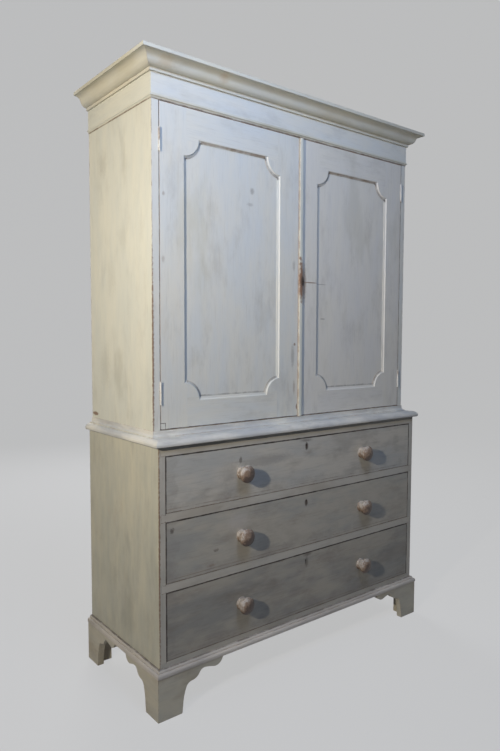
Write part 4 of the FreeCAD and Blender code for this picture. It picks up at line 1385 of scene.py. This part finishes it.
MIDDLE_DRAWER_WEAR: list[Wear] = [
    Clouds((0.20, 0.175, 0.15), 10.0, Grain.ACROSS, 0.35, 0.5),
    Spot((0.0, DRAWER_Y, 0.566), (0.007, 0.02, 0.012), DARK, 0.85, 0.35, 0.5),
    Spot((-0.555, DRAWER_Y, 0.570), (0.006, 0.02, 0.007), DARK, 0.7, 0.5, 2.4),
    Spot((-0.393, DRAWER_Y, 0.477), (0.009, 0.02, 0.004), DARK, 0.5, 0.6, 2.4),
    Spot((-0.411, DRAWER_Y, 0.432), (0.012, 0.02, 0.004), BROWN, 0.4, 0.8, 2.4),
    Spot((-0.300, DRAWER_Y, 0.553), (0.040, 0.02, 0.030), (0.50, 0.48, 0.46), 0.35, 0.6),
]
BOTTOM_DRAWER_WEAR: list[Wear] = [
    Clouds((0.17, 0.15, 0.13), 10.5, Grain.ACROSS, 0.35, 0.55),
    Spot((0.009, DRAWER_Y, 0.378), (0.018, 0.02, 0.007), DARK, 0.6, 0.6),
    Spot((0.004, DRAWER_Y, 0.350), (0.008, 0.02, 0.016), DARK, 0.5, 0.6),
    Spot((0.023, DRAWER_Y, 0.281), (0.018, 0.02, 0.010), SMOKE, 0.45, 0.6),
    Spot((-0.121, DRAWER_Y, 0.384), (0.030, 0.02, 0.006), DARK, 0.5, 0.6),
]
CORNICE_WEAR: list[Wear] = [
    # the yellow-olive clouds are partly painted light too, like the cornice's paint
    Clouds((0.47, 0.43, 0.30), 4.5, Grain.AROUND, 0.5, 0.5),
    Spot((-0.555, -0.198, 1.950), (0.022, 0.03, 0.012), (0.52, 0.38, 0.20), 0.35, 0.9, 1.6),
    Spot((-0.347, -0.198, 1.955), (0.014, 0.03, 0.012), (0.45, 0.30, 0.15), 0.4, 0.9, 1.6),
    Spot((0.120, -0.198, 1.945), (0.050, 0.03, 0.012), (0.52, 0.42, 0.26), 0.25, 0.9, 1.6),
    Arris((0.30, 0.20, 0.12), 0.0022, 0.7, 26.0),
]
FRIEZE_WEAR: list[Wear] = [Clouds((0.50, 0.49, 0.43), 5.0, Grain.AROUND, 0.35, 0.35)]
BEAD_WEAR: list[Wear] = [
    Clouds((0.36, 0.33, 0.24), 7.0, Grain.AROUND, 0.4, 0.5),
    Line(Axis.Z, 1.849, 0.004, (0.13, 0.085, 0.055), 0.85, 0.4),
]
MOULDING_WEAR: list[Wear] = [
    Clouds((0.40, 0.40, 0.41), 9.0, Grain.AROUND, 0.45, 0.5),
    Arris((0.36, 0.24, 0.17), 0.0025, 0.8, 26.0),
]
FOOT_WEAR: list[Wear] = [Clouds((0.33, 0.27, 0.19), 9.0, Grain.AROUND, 0.45, 0.55), Arris(strength=0.6)]
RAIL_WEAR: list[Wear] = [Clouds((0.28, 0.24, 0.19), 7.0, Grain.ACROSS, 0.4, 0.45)]


def main() -> None:
    """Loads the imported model, dresses it and adds the studio."""
    logging.basicConfig(level=logging.INFO, format="%(name)s: %(message)s")
    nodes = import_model()["nodes"]
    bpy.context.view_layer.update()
    bpy.context.scene.view_settings.view_transform = "Standard"

    Chest(
        nodes, CHEST_SIDE, CHEST_SIDE_WEAR, RAIL, MOULDING, MOULDING_WEAR, PLINTH, FOOT, FOOT_WEAR, RAIL_WEAR
    ).build()
    Cupboard(
        nodes, SIDE, SIDE_WEAR, FRONT, MOULDING, MOULDING_WEAR, CORNICE, CORNICE_WEAR, BEAD_WEAR, FRIEZE_WEAR
    ).build()
    Door(nodes, Side.LEFT, FRONT, LEFT_DOOR_WEAR).build()
    Door(nodes, Side.RIGHT, RIGHT_DOOR, RIGHT_DOOR_WEAR, SIDE, STRIP_WEAR).build()
    Hinges(nodes, MOULDING).build()
    for name, paint, wear in (
        ("bottom", BOTTOM_DRAWER, BOTTOM_DRAWER_WEAR),
        ("middle", MIDDLE_DRAWER, MIDDLE_DRAWER_WEAR),
        ("top", DRAWER, TOP_DRAWER_WEAR),
    ):
        Drawer(nodes, name, paint, wear).build()
    Studio().build()


if __name__ == "__main__":
    main()
